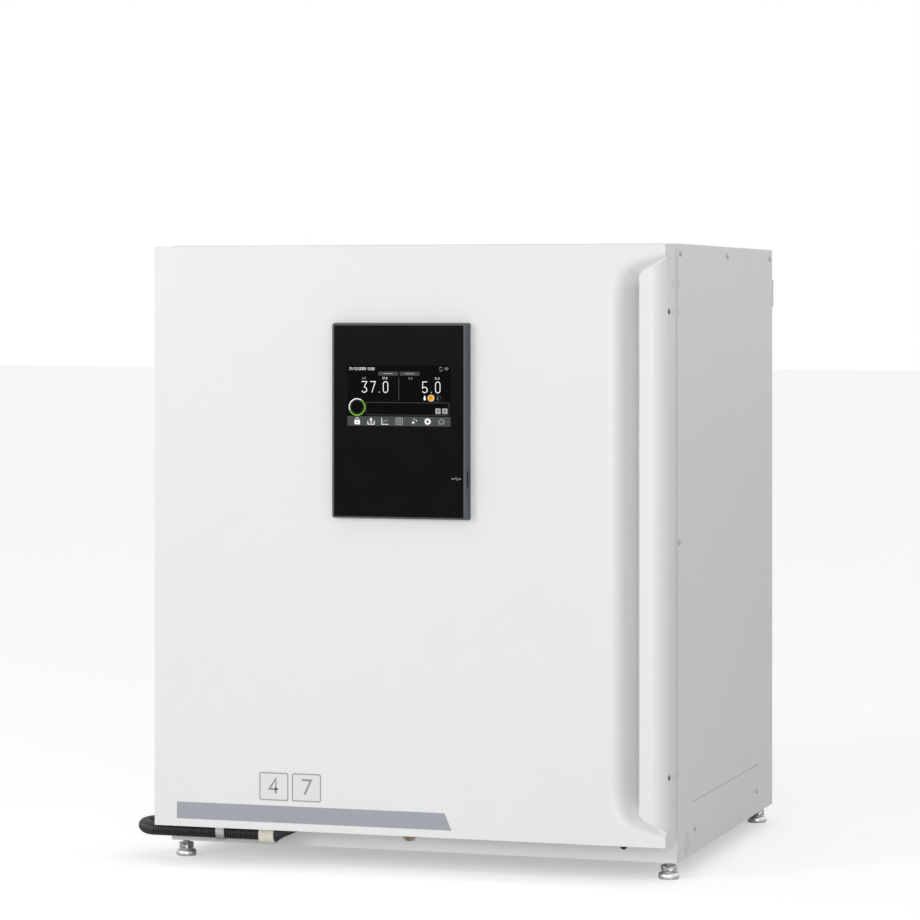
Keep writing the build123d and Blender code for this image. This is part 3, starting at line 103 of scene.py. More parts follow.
# Cable conduit below the door and its loop round the hinge
conduit_radius = 10.0
conduit_height = 45.4
conduit_rib = 3.9            # from one rib to the next
rib_depth = 1.8
conduit_route = (
    (-206, 35), (-290, 35), (-385, 35), (-410.0, 35),
    (-434.9, 78.3), (-410.0, 121.5), (-381, 121.5),
)
boot_mouth = -207.5
boot_length = 42.0
boot_low = 33.9              # the boot's lowest height, at its mouth
boot_rise = 20.2
boot_half_width = 11.4
boot_taper = 6.0

# Marks on the door
stripe_outline = ((-350.0, 67.2), (70.7, 67.2), (60.2, 91.7), (-350.0, 91.7))
label_side = 46.0
label_z = (98.5, 140.5)

# Light, with lengths in metres: the world's level on the object, what is added to the floor as
# seen, and the lamps' names, directions, sizes and watts
world_level = 0.54
floor_lift = 0.44
floor_reach = 40.0
lamp_aim = (0, -0.35, 0.45)
lamp_distance = 6.0
lamps = (
    ("key", (-0.70, -1.0, 0.30), 1.6, 72.0),
    ("fill", (0.35, -1.0, 0.05), 2.4, 92.0),
)

# The photograph's camera, in metres, radians and the picture's pixels
picture_side = 920
focal_length = 3533.8
centre_row = 302.05
sensor_width = 36.0
camera_place = (1.57757, -5.16687, 0.81468)
camera_tilt = 0.001409
camera_turn = 0.300877


# Placing

def row(points):
    """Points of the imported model, in metres, from points in this file's millimetres."""
    points = np.asarray(points, float)
    return (points + np.array([0.0, front_face, 0.0])) * millimetre


def dress(obj, material, body, nodes=()):
    """Gives a piece its finish and its body, and hides the solids that it stands for."""
    obj.data.materials.clear()
    obj.data.materials.append(material)
    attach(obj, body)
    if nodes:
        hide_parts(*nodes)
    return obj


def mesh_object(name, points, faces, crease=35.0):
    """A mesh from points in millimetres and a list of faces, smooth but for edges over crease."""
    mesh = bpy.data.meshes.new(name)
    places = [tuple(point) for point in row(points)]
    mesh.from_pydata(places, [], [tuple(int(i) for i in face) for face in faces])
    mesh.update()
    obj = bpy.data.objects.new(name, mesh)
    bpy.context.scene.collection.objects.link(obj)
    weld(obj, crease)
    return obj


def weld(obj, crease):
    """Merges doubled points, drops faces without area and smooths shallow edges.

    It also turns all faces outwards, but leaves them as they are where crease is None.
    """
    work = bmesh.new()
    work.from_mesh(obj.data)
    bmesh.ops.remove_doubles(work, verts=work.verts, dist=2e-6)
    bmesh.ops.dissolve_degenerate(work, edges=work.edges, dist=2e-6)
    if crease is not None:
        bmesh.ops.recalc_face_normals(work, faces=work.faces)
    work.to_mesh(obj.data)
    work.free()
    obj.data.shade_smooth()
    obj.data.set_sharp_from_angle(angle=radians(35.0 if crease is None else crease))


def grid_faces(rows, columns, wrap=False):
    """Faces of a grid of rows by columns; with wrap the last column joins the first."""
    across = np.arange(columns if wrap else columns - 1)
    i, j = np.meshgrid(np.arange(rows - 1), across, indexing="ij")
    k = (j + 1) % columns
    this, below = i * columns, (i + 1) * columns
    faces = np.stack([this + j, this + k, below + k, below + j], -1)
    return faces.reshape(-1, 4).tolist()


def surface(name, grid, wrap=False, crease=None):
    """A surface through a grid of points, rows by columns by three."""
    rows, columns, _ = grid.shape
    return mesh_object(name, grid.reshape(-1, 3), grid_faces(rows, columns, wrap), crease)


def join(name, pieces):
    """Several pieces made one."""
    with bpy.context.temp_override(active_object=pieces[0], selected_editable_objects=pieces):
        bpy.ops.object.join()
    pieces[0].name = name
    pieces[0].data.name = name
    return pieces[0]


def smooth_copy(node, material, body):
    """The solid's own shape with its curved faces shaded smooth."""
    obj = bpy.data.objects.new(node + "_finish", frame["nodes"][node].data.copy())
    bpy.context.scene.collection.objects.link(obj)
    weld(obj, None)
    obj.data.set_sharp_from_angle(angle=radians(30.0))
    return dress(obj, material, body, (node,))


# Finishes

noise_range = (0.3, 0.7)     # most values of a noise texture lie between these


class Finish:
    """A material under construction: one shader and the nodes that vary it over the piece."""

    def __init__(self, name, colour, rough, metal=0.0, **sockets):
        self.material = bpy.data.materials.new(name)
        self.material.use_nodes = True
        self.tree = self.material.node_tree
        self.shader = self.tree.nodes["Principled BSDF"]
        self.colour = tuple(colour) + (1.0,)
        self.shader.inputs["Base Color"].default_value = self.colour
        self.shader.inputs["Roughness"].default_value = rough
        self.shader.inputs["Metallic"].default_value = metal
        for socket, value in sockets.items():
            self.shader.inputs[socket.replace("_", " ")].default_value = value
        self.place = self.add("ShaderNodeTexCoord").outputs["Object"]
        self.normal = None

    def add(self, kind, **values):
        node = self.tree.nodes.new(kind)
        for name, value in values.items():
            if hasattr(node, name):
                setattr(node, name, value)
            else:
                node.inputs[name.replace("_", " ")].default_value = value
        return node

    def link(self, source, target):
        self.tree.links.new(source, target)

    def field(self, kind, size, stretch=(1, 1, 1), **values):
        """A texture whose features are size millimetres across, longer along a stretched axis."""
        mapping = self.add("ShaderNodeMapping")
        scale = 1.0 / (size * millimetre)
        mapping.inputs["Scale"].default_value = [scale / s for s in stretch]
        self.link(self.place, mapping.inputs["Vector"])
        texture = self.add(kind, Scale=1.0, **values)
        self.link(mapping.outputs["Vector"], texture.inputs["Vector"])
        return texture.outputs

    def noise(self, size, stretch):
        return self.field("ShaderNodeTexNoise", size, stretch, Detail=3.0, Roughness=0.55)["Fac"]

    def mottle(self, size, amount, stretch=(1, 1, 1), source=None):
        """Colour that drifts by a share of itself, lighter and darker."""
        ramp = self.add("ShaderNodeValToRGB")
        dark, light = ramp.color_ramp.elements
        dark.position, light.position = noise_range
        dark.color = [c * (1 - amount) for c in self.colour[:3]] + [1]
        light.color = [min(c * (1 + amount), 1) for c in self.colour[:3]] + [1]
        self.link(source or self.noise(size, stretch), ramp.inputs["Fac"])
        self.link(ramp.outputs["Color"], self.shader.inputs["Base Color"])
        return self

    def polish(self, size, low, high, stretch=(1, 1, 1)):
        """Roughness that wanders between low and high."""
        span = self.add("ShaderNodeMapRange")
        ends = dict(zip(("From Min", "From Max", "To Min", "To Max"), noise_range + (low, high)))
        for socket, value in ends.items():
            span.inputs[socket].default_value = value
        self.link(self.noise(size, stretch), span.inputs["Value"])
        self.link(span.outputs["Result"], self.shader.inputs["Roughness"])
        return self

    def edges(self, radius):
        """Edges that catch the light as if rounded by radius millimetres."""
        bevel = self.add("ShaderNodeBevel", samples=4, Radius=radius * millimetre)
        self.normal = bevel.outputs["Normal"]
        self.link(self.normal, self.shader.inputs["Normal"])
        return self

    def relief(self, size, height, stretch=(1, 1, 1)):
        """Fine relief, height in millimetres."""
        bump = self.add("ShaderNodeBump", Distance=height * millimetre, Strength=1.0)
        self.link(self.noise(size, stretch), bump.inputs["Height"])
        if self.normal is not None:
            self.link(self.normal, bump.inputs["Normal"])
        self.normal = bump.outputs["Normal"]
        self.link(self.normal, self.shader.inputs["Normal"])
        return self

    def flakes(self, size, amount):
        """Zinc spangle: crystals of slightly different greys."""
        cells = self.field("ShaderNodeTexVoronoi", size)
        split = self.add("ShaderNodeSeparateColor")
        self.link(cells["Color"], split.inputs["Color"])
        return self.mottle(0, amount, source=split.outputs["Red"])


def enamel(name, colour, rough=0.42):
    """Baked powder enamel: an orange-peel skin with soft edges."""
    finish = Finish(name, colour, rough, Coat_Weight=0.12, Coat_Roughness=0.25)
    finish.mottle(90, 0.006).polish(4, rough - 0.05, rough + 0.05)
    return finish.edges(0.8).relief(1.6, 0.004)


def moulding(name, colour, rough=0.45, grain=0.012):
    """Moulded plastic with a fine spark-eroded grain."""
    finish = Finish(name, colour, rough)
    finish.mottle(25, 0.05).polish(2, rough - 0.06, rough + 0.06)
    return finish.edges(0.4).relief(0.5, grain)


def brushed(name, colour, rough, run, edge=0.5):
    """Sheet steel brushed along one axis, so the scratches are long that way."""
    stretch = tuple(60 if axis == run else 1 for axis in "xyz")
    finish = Finish(name, colour, rough, 1.0)
    finish.mottle(0.8, 0.05, stretch).polish(0.6, rough - 0.08, rough + 0.10, stretch)
    return finish.edges(edge).relief(0.5, 0.0025, stretch)


def machined(name, colour, rough):
    """Plated and turned metal: fine rings across the height."""
    finish = Finish(name, colour, rough, 1.0)
    finish.mottle(6, 0.06).polish(0.4, rough - 0.05, rough + 0.08, (20, 20, 1))
    return finish.edges(0.3).relief(0.35, 0.003, (30, 30, 1))


def rubber(name, colour, rough=0.7):
    """Soft rubber or silicone with a matt, slightly uneven skin."""
    finish = Finish(name, colour, rough)
    return finish.mottle(8, 0.06).polish(3, rough - 0.08, rough + 0.08).relief(1.2, 0.02)


def lit(name, colour, strength):
    """A lit area of the screen: it glows in its own colour, a little unevenly."""
    finish = Finish(name, colour, 0.3, Emission_Strength=strength, Specular_IOR_Level=0.05)
    finish.shader.inputs["Emission Color"].default_value = finish.colour
    return finish.mottle(3, 0.03)


def glass(name, colour, rough=0.02):
    """Clear sheet glass with a faint wave."""
    finish = Finish(name, colour, rough, Transmission_Weight=1.0, IOR=1.5)
    return finish.polish(60, rough, rough + 0.02).relief(80, 0.002)


finishes = {
    "white_paint": enamel("white_paint", (0.86, 0.86, 0.86)),
    "frame_paint": enamel("frame_paint", (0.84, 0.845, 0.84)),
    "side_paint": enamel("side_paint", (0.845, 0.84, 0.84)),
    "foam": Finish("foam", (0.85, 0.80, 0.62), 0.9).mottle(3, 0.08).relief(1.2, 0.15),
    # The gasket's own grey rubber, darkened further as painted shade so the door gap reads as a
    # dark line.
    "gasket_grey": rubber("gasket_grey", (0.085, 0.105, 0.12)),
    "hinge_steel": brushed("hinge_steel", (0.62, 0.63, 0.64), 0.34, "z"),
    "bezel_grey": moulding("bezel_grey", (0.058, 0.072, 0.080), 0.40, 0.006),
    "panel_glass": Finish("panel_glass", (0.0035, 0.0035, 0.0035), 0.10, Specular_IOR_Level=0.11)
                   .polish(40, 0.08, 0.13),
    "display_black": Finish("display_black", (0.002, 0.002, 0.002), 0.2, Specular_IOR_Level=0.1)
                     .polish(9, 0.18, 0.24),
    "socket_metal": brushed("socket_metal", (0.22, 0.22, 0.23), 0.35, "y"),
    "plug_plastic": moulding("plug_plastic", (0.75, 0.765, 0.76), 0.36, 0.004),
    "dark_screw": machined("dark_screw", (0.13, 0.13, 0.14), 0.30),
    "screw_steel": machined("screw_steel", (0.56, 0.56, 0.55), 0.42),
    "zinc_sheet": Finish("zinc_sheet", (0.56, 0.58, 0.60), 0.42, 0.85).flakes(9, 0.035)
                  .polish(9, 0.36, 0.50).edges(0.6),
    "bright_steel": machined("bright_steel", (0.78, 0.78, 0.77), 0.40),
    "stainless": brushed("stainless", (0.66, 0.66, 0.65), 0.28, "x", 0.8),
    "silicone": rubber("silicone", (0.72, 0.72, 0.70), 0.5),
    "black_plastic": moulding("black_plastic", (0.022, 0.022, 0.024), 0.42),
    "lamp_glass": Finish("lamp_glass", (0.80, 0.86, 0.92), 0.12, Coat_Weight=0.5).mottle(12, 0.04),
    "brass": machined("brass", (0.52, 0.44, 0.31), 0.36),
    "clear_glass": glass("clear_glass", (0.94, 0.98, 0.965)),
    "conduit_black": Finish("conduit_black", (0.016, 0.016, 0.017), 0.30).mottle(6, 0.10)
                     .polish(2, 0.26, 0.36).relief(0.6, 0.004),
    "clamp_metal": brushed("clamp_metal", (0.62, 0.63, 0.64), 0.30, "x", 0.4),
    "sleeve_cream": rubber("sleeve_cream", (0.80, 0.77, 0.67), 0.5),
    "boot_rubber": rubber("boot_rubber", (0.018, 0.018, 0.019), 0.5),
}

white_ink = lit("white_ink", (0.86, 0.86, 0.86), 0.20)
grey_ink = lit("grey_ink", (0.060, 0.060, 0.062), 0.15)
pale_ink = lit("pale_ink", (0.34, 0.34, 0.35), 0.15)
bar_ink = lit("bar_ink", (0.064, 0.072, 0.066), 0.10)
screen_ink = lit("screen_ink", (0.0008, 0.0008, 0.001), 0.0)
green_ink = lit("green_ink", (0.18, 0.50, 0.03), 0.2)
amber_ink = lit("amber_ink", (0.88, 0.38, 0.008), 0.2)
dark_ink = lit("dark_ink", (0.02, 0.02, 0.02), 0.0)
stripe_ink = Finish("stripe_ink", (0.37, 0.39, 0.43), 0.45).mottle(60, 0.012).relief(1.6, 0.003)
label_white = Finish("label_white", (0.80, 0.80, 0.80), 0.5).mottle(20, 0.01)
label_line = Finish("label_line", (0.33, 0.33, 0.34), 0.5).mottle(20, 0.02)


def dress_solids():
    """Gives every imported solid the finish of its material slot, and returns the slots."""
    slots = {}
    for name, obj in frame["nodes"].items():
        slots[name] = obj.material_slots[0].material.name.split(".")[0]
        for place in obj.material_slots:
            place.material = finishes[slots[name]].material
    return slots


slots = dress_solids()


# The door's moulded skin

def corner_arc(before, corner, after, radius, steps):
    """Points of the arc that rounds a corner between two neighbours."""
    corner = np.asarray(corner, float)
    one = np.asarray(before, float) - corner
    two = np.asarray(after, float) - corner
    one /= np.linalg.norm(one)
    two /= np.linalg.norm(two)
    half = np.arccos(np.clip(one @ two, -1, 1)) / 2
    middle = one + two
    middle /= np.linalg.norm(middle)
    centre = corner + middle * radius / sin(half)
    start = corner + one * radius / tan(half)
    end = corner + two * radius / tan(half)
    first = atan2(*(start - centre)[::-1])
    last = atan2(*(end - centre)[::-1])
    turn = (last - first + pi) % (2 * pi) - pi
    angle = first + turn * np.linspace(0, 1, steps)
    return centre + radius * np.stack([np.cos(angle), np.sin(angle)], -1)


def lower_end(rows_slope=16, rows_corner=14, rows_up=12):
    """Lower end of the grip, from the door's side up to where all is upright.

    Returns three lines of (x, z), row for row: the door's border, the dish's outer edge and the
    lip's edge. The lip's edge is a slanted line, an arc and an upright line. The dish's edge is a
    line and a Bezier curve.
    """
    rise = (half_width - lip_edge) * tan(radians(lip_slope))
    corner = (lip_edge, lip_end + rise)
    start = (half_width, lip_end)
    arc = corner_arc(start, corner, (lip_edge, grip_upright), lip_corner, rows_corner)
    slope = np.linspace(start, arc[0], rows_slope, endpoint=False)
    up = np.linspace(arc[-1], (lip_edge, grip_upright), rows_up + 1)[1:]
    lip = np.concatenate([slope, arc, up])

    straight = np.linspace((half_width, dish_end), dish_near, rows_slope, endpoint=False)
    t = np.linspace(0, 1, rows_corner + rows_up)[:, None]
    handles = np.array([dish_near, *dish_handles, (dish_edge, grip_upright)])
    curve = ((1 - t) ** 3 * handles[0] + 3 * (1 - t) ** 2 * t * handles[1]
             + 3 * (1 - t) * t ** 2 * handles[2] + t ** 3 * handles[3])
    dish = np.concatenate([straight, curve])

    count = len(lip)
    half = count // 2
    far_corner = (-half_width, door_bottom)
    bottom = np.linspace((half_width, door_bottom), far_corner, half, endpoint=False)
    side = np.linspace(far_corner, (-half_width, grip_upright), count - half)
    return np.concatenate([bottom, side]), dish, lip


def dish_section(steps=28):
    """The dish's section: shares of its full width, with the share of its full depth at each."""
    turn = radians(dish_angle)
    roll = np.linspace(0, turn, steps // 2)
    x = dish_roll * np.sin(roll)
    y = dish_roll - dish_roll * np.cos(roll)
    corner_x = x[-1] + (dish_depth - y[-1]) / tan(turn)
    tangent = dish_floor_radius * tan(turn / 2)
    back = turn - np.linspace(0, turn, steps // 2)
    floor_x = corner_x + tangent
    x = np.concatenate([x, floor_x - dish_floor_radius * np.sin(back)])
    y = np.concatenate([y, dish_depth - dish_floor_radius + dish_floor_radius * np.cos(back)])
    width = lip_edge - dish_edge
    return np.append(x, width) / width, np.append(y, dish_depth) / dish_depth


def lip_roll(x):
    """Depth of the lip's face: flat, then a quarter circle into the side."""
    beyond = np.clip(np.asarray(x, float) - (half_width - lip_radius), 0, lip_radius)
    return lip_radius - np.sqrt(np.maximum(lip_radius ** 2 - beyond ** 2, 0))


def pocket_section(steps=8):
    """Round the lip's edge and the space behind it, in X and depth, from the floor to the nose."""
    nose = lip_wall / 2
    inner = lip_radius - lip_wall
    centre = half_width - lip_radius
    angle = np.linspace(0, pi, steps)
    nose_x = lip_edge + nose - nose * np.sin(angle)
    nose_y = nose - nose * np.cos(angle)
    angle = np.linspace(0, pi / 2, steps)
    arc_x = centre + inner * np.sin(angle)
    arc_y = lip_radius - inner * np.cos(angle)
    x = np.concatenate([nose_x, arc_x, [centre + inner, lip_edge]])
    y = np.concatenate([nose_y, arc_y, [dish_depth, dish_depth]])
    return x[::-1], y[::-1]


def full_height(line):
    """A line of the grip's lower end carried on to its mirror image at the upper end."""
    flipped = np.stack([line[::-1, 0], 2 * door_middle - line[::-1, 1]], -1)
    share = np.linspace(0, 1, 60)[1:-1, None]
    return np.concatenate([line, line[-1] + share * (flipped[0] - line[-1]), flipped])


def front_lines():
    """The border, the dish's edge and the lip's edge, row for row, and which rows are open behind.

    The rows at the two ends of the finger space are doubled: one closes it, one opens it.
    """
    border, dish, lip = [full_height(line) for line in lower_end()]
    heights = lip[:, 1]
    first = int(np.searchsorted(heights, pocket_low))
    last = int(np.searchsorted(heights, 2 * door_middle - pocket_low)) - 1
    parts = (np.arange(first + 1), np.arange(first, last + 1), np.arange(last, len(heights)))
    order = np.concatenate(parts)
    opened = np.zeros(len(order), bool)
    opened[first + 1:last + 2] = True
    return border[order], dish[order], lip[order], opened


def bowl_depth(dish, lip):
    """The dish's depth, which goes with its local width."""
    return dish_depth * np.linalg.norm(lip - dish, axis=-1) / (lip_edge - dish_edge)


def front_surface(border, dish, lip, opened):
    """The front as one grid.

    Its rows follow the lip's edge from the lower end to the upper end. Its columns run from the
    door's border over the flat front to the dish, down the dish's section, through the finger
    space behind the lip, and over the lip to the door's side.
    """
    section_x, section_y = dish_section()
    pocket_x, pocket_y = pocket_section()
    depth = bowl_depth(dish, lip)[:, None]
    opened = opened[:, None]
    lip_x, height = lip[:, :1], lip[:, 1:]

    share = np.array([0.0, 0.5, 0.85, 0.97, 1.0])[None, :, None]
    flat = border[:, None] + share * (dish - border)[:, None]
    across = dish[:, None] + section_x[None, 1:, None] * (lip - dish)[:, None]

    start_y = lip_roll(lip_x)
    level = np.clip((pocket_y[None] - lip_wall) / (dish_depth - lip_wall), 0, 1)
    wall_y = start_y + level * (depth - start_y)
    open_y = np.minimum(pocket_y[None], np.maximum(depth, lip_wall + 1))
    behind_x = np.where(opened, pocket_x[None], lip_x)
    behind_y = np.where(opened, open_y, wall_y)

    reach = np.linspace(0, 1, 30)[1:] ** 0.85
    over_x = behind_x[:, -1:] + reach[None] * (half_width - behind_x[:, -1:])

    x = np.concatenate([flat[..., 0], across[..., 0], behind_x, over_x], 1)
    y = np.concatenate([np.zeros(flat.shape[:2]), section_y[None, 1:] * depth, behind_y,
                        lip_roll(over_x)], 1)
    upright = np.broadcast_to(height, (len(lip), behind_x.shape[1] + over_x.shape[1]))
    z = np.concatenate([flat[..., 1], across[..., 1], upright], 1)
    return surface("door_skin_front", np.stack([x, y, z], -1))


def side_surface(dish, lip):
    """The side under the grip: upright rows from the front's outline to the door's back."""
    section_x, section_y = dish_section()
    steps, straight = 12, 40
    low, high = (dish[0, 1], lip[0, 1]), (lip[-1, 1], dish[-1, 1])
    bowl = np.interp(np.linspace(0, 1, steps), section_x, section_y)[1:]
    bowl *= bowl_depth(dish[0], lip[0])
    outline_z = np.concatenate([
        [door_bottom, low[0]], np.linspace(*low, steps)[1:],
        np.linspace(low[1], high[0], straight),
        np.linspace(*high, steps)[:-1], [high[1], door_top],
    ])[:, None]
    outline_y = np.concatenate([
        [0, 0], bowl, np.full(straight, lip_radius), bowl[::-1], [0, 0],
    ])[:, None]
    y = outline_y + np.linspace(0, 1, 8)[None] * (door_thickness - outline_y)
    side = np.stack([np.full(y.shape, half_width), y, np.broadcast_to(outline_z, y.shape)], -1)
    return surface("door_skin_side", side)


def other_surfaces():
    """The door's other three sides, and the rim turned in at the back."""
    corners = np.array([(half_width, door_bottom), (-half_width, door_bottom),
                        (-half_width, door_top), (half_width, door_top)])
    path = np.concatenate([np.linspace(corners[i], corners[i + 1], 30) for i in range(3)])
    sweep = np.linspace(0, door_thickness, 8)
    shape = (len(path), len(sweep))
    walls = np.stack([np.broadcast_to(path[:, :1], shape), np.broadcast_to(sweep, shape),
                      np.broadcast_to(path[:, 1:], shape)], -1)
    outer = np.concatenate([corners, corners[:1]])
    inner = outer - np.sign(outer - [0, door_middle]) * door_wall
    rim = np.stack([
        np.insert(outer, 1, door_thickness, axis=1),
        np.insert(inner, 1, door_thickness, axis=1),
        np.insert(inner, 1, door_thickness - door_rim, axis=1),
    ], 1)
    return [surface("door_skin_walls", walls), surface("door_skin_rim", rim)]


def door_skin():
    """The white door cover with its dished grip."""
    border, dish, lip, opened = front_lines()
    front = front_surface(border, dish, lip, opened)
    skin = join("door_skin", [front, side_surface(dish, lip), *other_surfaces()])
    weld(skin, 32.0)
    white = finishes["white_paint"].material
    dress(skin, white, "outer_door", ("door_outer_shell",))


door_skin()


# The ribbed conduit

def spline_points(name, route, height):
    """Points read along the smooth line that a route's points control."""
    curve = bpy.data.curves.new(name, "CURVE")
    curve.dimensions = "3D"
    spline = curve.splines.new("NURBS")
    spline.points.add(len(route) - 1)
    placed = row([(x, y, height) for x, y in route])
    spline.points.foreach_set("co", np.insert(placed, 3, 1.0, axis=1).ravel())
    spline.order_u = 3
    spline.use_endpoint_u = True
    spline.resolution_u = 48
    line = bpy.data.objects.new(name, curve)
    bpy.context.scene.collection.objects.link(line)
    mesh = bpy.data.meshes.new_from_object(line)
    points = np.zeros(len(mesh.vertices) * 3)
    mesh.vertices.foreach_get("co", points)
    bpy.data.objects.remove(line)
    return points.reshape(-1, 3)


def evenly(points, step):
    """Points at even steps along a line, with the line's length."""
    gone = np.concatenate([[0], np.cumsum(np.linalg.norm(np.diff(points, axis=0), axis=1))])
    where = np.linspace(0, gone[-1], int(round(gone[-1] / step)) + 1)
    return np.stack([np.interp(where, gone, points[:, k]) for k in range(3)], -1), gone[-1]


def ribbed_tube(name, line, radius, rib, steps=40):
    """A corrugated tube: the radius swells and shrinks along the line, once for each rib."""
    points, length = evenly(line, rib * millimetre / 8)
    tangent = np.gradient(points, axis=0)
    tangent /= np.linalg.norm(tangent, axis=1)[:, None]
    up = np.array([0.0, 0.0, 1.0])
    side = np.cross(tangent, up)
    side /= np.linalg.norm(side, axis=1)[:, None]
    other = np.cross(side, tangent)
    count = len(points)
    wave = np.sin(np.linspace(0, length / (rib * millimetre), count) * pi)
    swell = radius - rib_depth + rib_depth * np.sqrt(np.abs(wave))
    angle = (np.arange(steps) * 2 * pi / steps)[None, :, None]
    ring = np.cos(angle) * side[:, None] + np.sin(angle) * other[:, None]
    grid = points[:, None] + swell[:, None, None] * millimetre * ring
    grid = grid / millimetre - np.array([0.0, front_face, 0.0])
    return surface(name, grid, wrap=True, crease=60.0), points, length


def conduit():
    """The cable conduit: clamped under the door, then a free loop into the cabinet's side."""
    line = spline_points("conduit_line", conduit_route, conduit_height)
    tube, points, length = ribbed_tube("conduit_tube", line, conduit_radius, conduit_rib)
    tube.data.materials.append(finishes["conduit_black"].material)
    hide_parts("conduit_loop", "conduit_run")
    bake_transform(tube)


conduit()


def conduit_boot():
    """The rubber boot: the conduit's end flattened in rings towards the door's underside."""
    rings, steps = 14, 40
    share = np.linspace(0, 1, rings)[:, None]
    angle = np.arange(steps) * 2 * pi / steps
    low = boot_low + boot_rise * share ** 0.8
    squash = np.sign(np.sin(angle)) * np.abs(np.sin(angle)) ** 0.7
    x = np.broadcast_to(boot_mouth + boot_length * share, (rings, steps))
    y = conduit_route[0][1] + (boot_half_width - boot_taper * share) * np.cos(angle)
    z = (low + door_bottom) / 2 + (door_bottom - low) / 2 * squash
    grid = np.stack([x, y, z], -1)
    centre = np.broadcast_to(grid[-1].mean(0), (1, steps, 3))
    closed = np.concatenate([grid, centre])
    boot = surface("conduit_boot_rubber", closed, wrap=True, crease=50.0)
    dress(boot, finishes["boot_rubber"].material, "outer_door", ("conduit_boot",))


conduit_boot()


# Marks on the door and the screen: thin plates just in front of what they are printed on

def plate(name, outline, depth, finish, thickness=ink):
    """A flat plate with an outline of (x, z)."""
    outline = np.asarray(outline, float)
    count = len(outline)
    face = np.insert(outline, 1, depth, axis=1)
    back = np.insert(outline, 1, depth + thickness, axis=1)
    ring = np.arange(count)
    after = (ring + 1) % count
    sides = np.stack([ring, after, after + count, ring + count], -1).tolist()
    faces = [ring.tolist(), (ring[::-1] + count).tolist()] + sides
    obj = mesh_object(name, np.concatenate([face, back]), faces)
    return dress(obj, finish.material, "outer_door")


def rounded_box(x0, z0, x1, z1, radius, steps=6):
    """Outline of a rectangle with rounded corners."""
    angle = np.linspace(0, pi / 2, steps)
    arc = np.stack([np.cos(angle), np.sin(angle)], -1) * radius
    quarters = (0, pi / 2, pi, 3 * pi / 2)
    turns = [np.array([[cos(a), sin(a)], [-sin(a), cos(a)]]) for a in quarters]
    left, right, low, high = x0 + radius, x1 - radius, z0 + radius, z1 - radius
    centres = [(right, high), (left, high), (left, low), (right, low)]
    return np.concatenate([arc @ turn + centre for turn, centre in zip(turns, centres)])


def around(x, z, radius, first, last, steps):
    """Points round a centre, from one angle to another, in degrees."""
    angle = np.radians(np.linspace(first, last, steps))
    return np.stack([x + radius * np.cos(angle), z + radius * np.sin(angle)], -1)


def ribbon(line, width, closed):
    """Both outlines of a stroke: the line pushed out to each side by half its width."""
    line = np.asarray(line, float)
    if closed:
        before, after = line - np.roll(line, 1, 0), np.roll(line, -1, 0) - line
    else:
        steps = np.diff(line, axis=0)
        before = np.concatenate([steps[:1], steps])
        after = np.concatenate([steps, steps[-1:]])
    before = before / np.maximum(np.linalg.norm(before, axis=1), 1e-9)[:, None]
    after = after / np.maximum(np.linalg.norm(after, axis=1), 1e-9)[:, None]
    along = before + after
    along /= np.maximum(np.linalg.norm(along, axis=1), 1e-9)[:, None]
    reach = width / 2 / np.maximum(np.abs((along * after).sum(1)), 0.5)
    out = np.stack([-along[:, 1], along[:, 0]], -1) * reach[:, None]
    return line + out, line - out


def strokes(name, lines, width, depth, finish):
    """Lines made by drawn() or looped(), as one flat piece."""
    points, faces = [], []
    base = 0
    for line, closed in lines:
        flat = np.concatenate(ribbon(line, width, closed))
        count = len(flat) // 2
        layer = 2 * count
        points.append(np.insert(flat, 1, depth, axis=1))
        points.append(np.insert(flat, 1, depth + ink, axis=1))
        i = base + np.arange(count if closed else count - 1)
        k = base + (i - base + 1) % count
        quads = (
            (i, k, k + count, i + count),
            (i + count + layer, k + count + layer, k + layer, i + layer),
            (i, i + layer, k + layer, k),
            (k + count, k + count + layer, i + count + layer, i + count),
        )
        for quad in quads:
            faces += np.stack(quad, -1).tolist()
        if not closed:
            end = base + count - 1
            faces.append([base, base + count, base + count + layer, base + layer])
            faces.append([end, end + layer, end + count + layer, end + count])
        base += 2 * layer
    obj = mesh_object(name, np.concatenate(points), faces)
    return dress(obj, finish.material, "outer_door")


def drawn(*points):
    """A line for strokes() that ends at its last point."""
    return points, False


def looped(*points):
    """A line for strokes() that closes on its first point."""
    return points, True


def digit_lines(mark, x, z, width, height):
    """A numeral as strokes in a box, in the plain style of an instrument's display."""
    r = width / 2
    cx, right, top = x + r, x + width, z + height
    bar = z + 0.3 * height
    dot = z + 0.35 * width
    shapes = {
        "0": [looped(*around(cx, top - r, r, 0, 180, 16), *around(cx, z + r, r, 180, 360, 16))],
        "1": [drawn((x + 0.1 * width, top - 0.25 * height), (cx + 0.15 * width, top),
                    (cx + 0.15 * width, z))],
        "2": [drawn(*around(cx, top - r, r, 170, -20, 14), (x, z), (right, z))],
        "3": [drawn((x, top), (right, top), (cx, z + 2 * r), *around(cx, z + r, r, 80, -160, 16))],
        "4": [drawn((cx + 0.2 * width, z), (cx + 0.2 * width, top), (x, bar), (right, bar))],
        "5": [drawn((right, top), (x + 0.12 * width, top), (x + 0.05 * width, z + 1.75 * r),
                    *around(cx, z + 1.1 * r, r * 1.05, 125, -150, 18))],
        "7": [drawn((x, top), (right, top), (x + 0.3 * width, z))],
        ".": [drawn((x, dot), (right, dot))],
        "/": [drawn((x, z), (right, top))],
        ":": [drawn((cx, z + 0.2 * height), (cx, z + 0.35 * height)),
              drawn((cx, z + 0.65 * height), (cx, z + 0.8 * height))],
    }
    return shapes[mark]


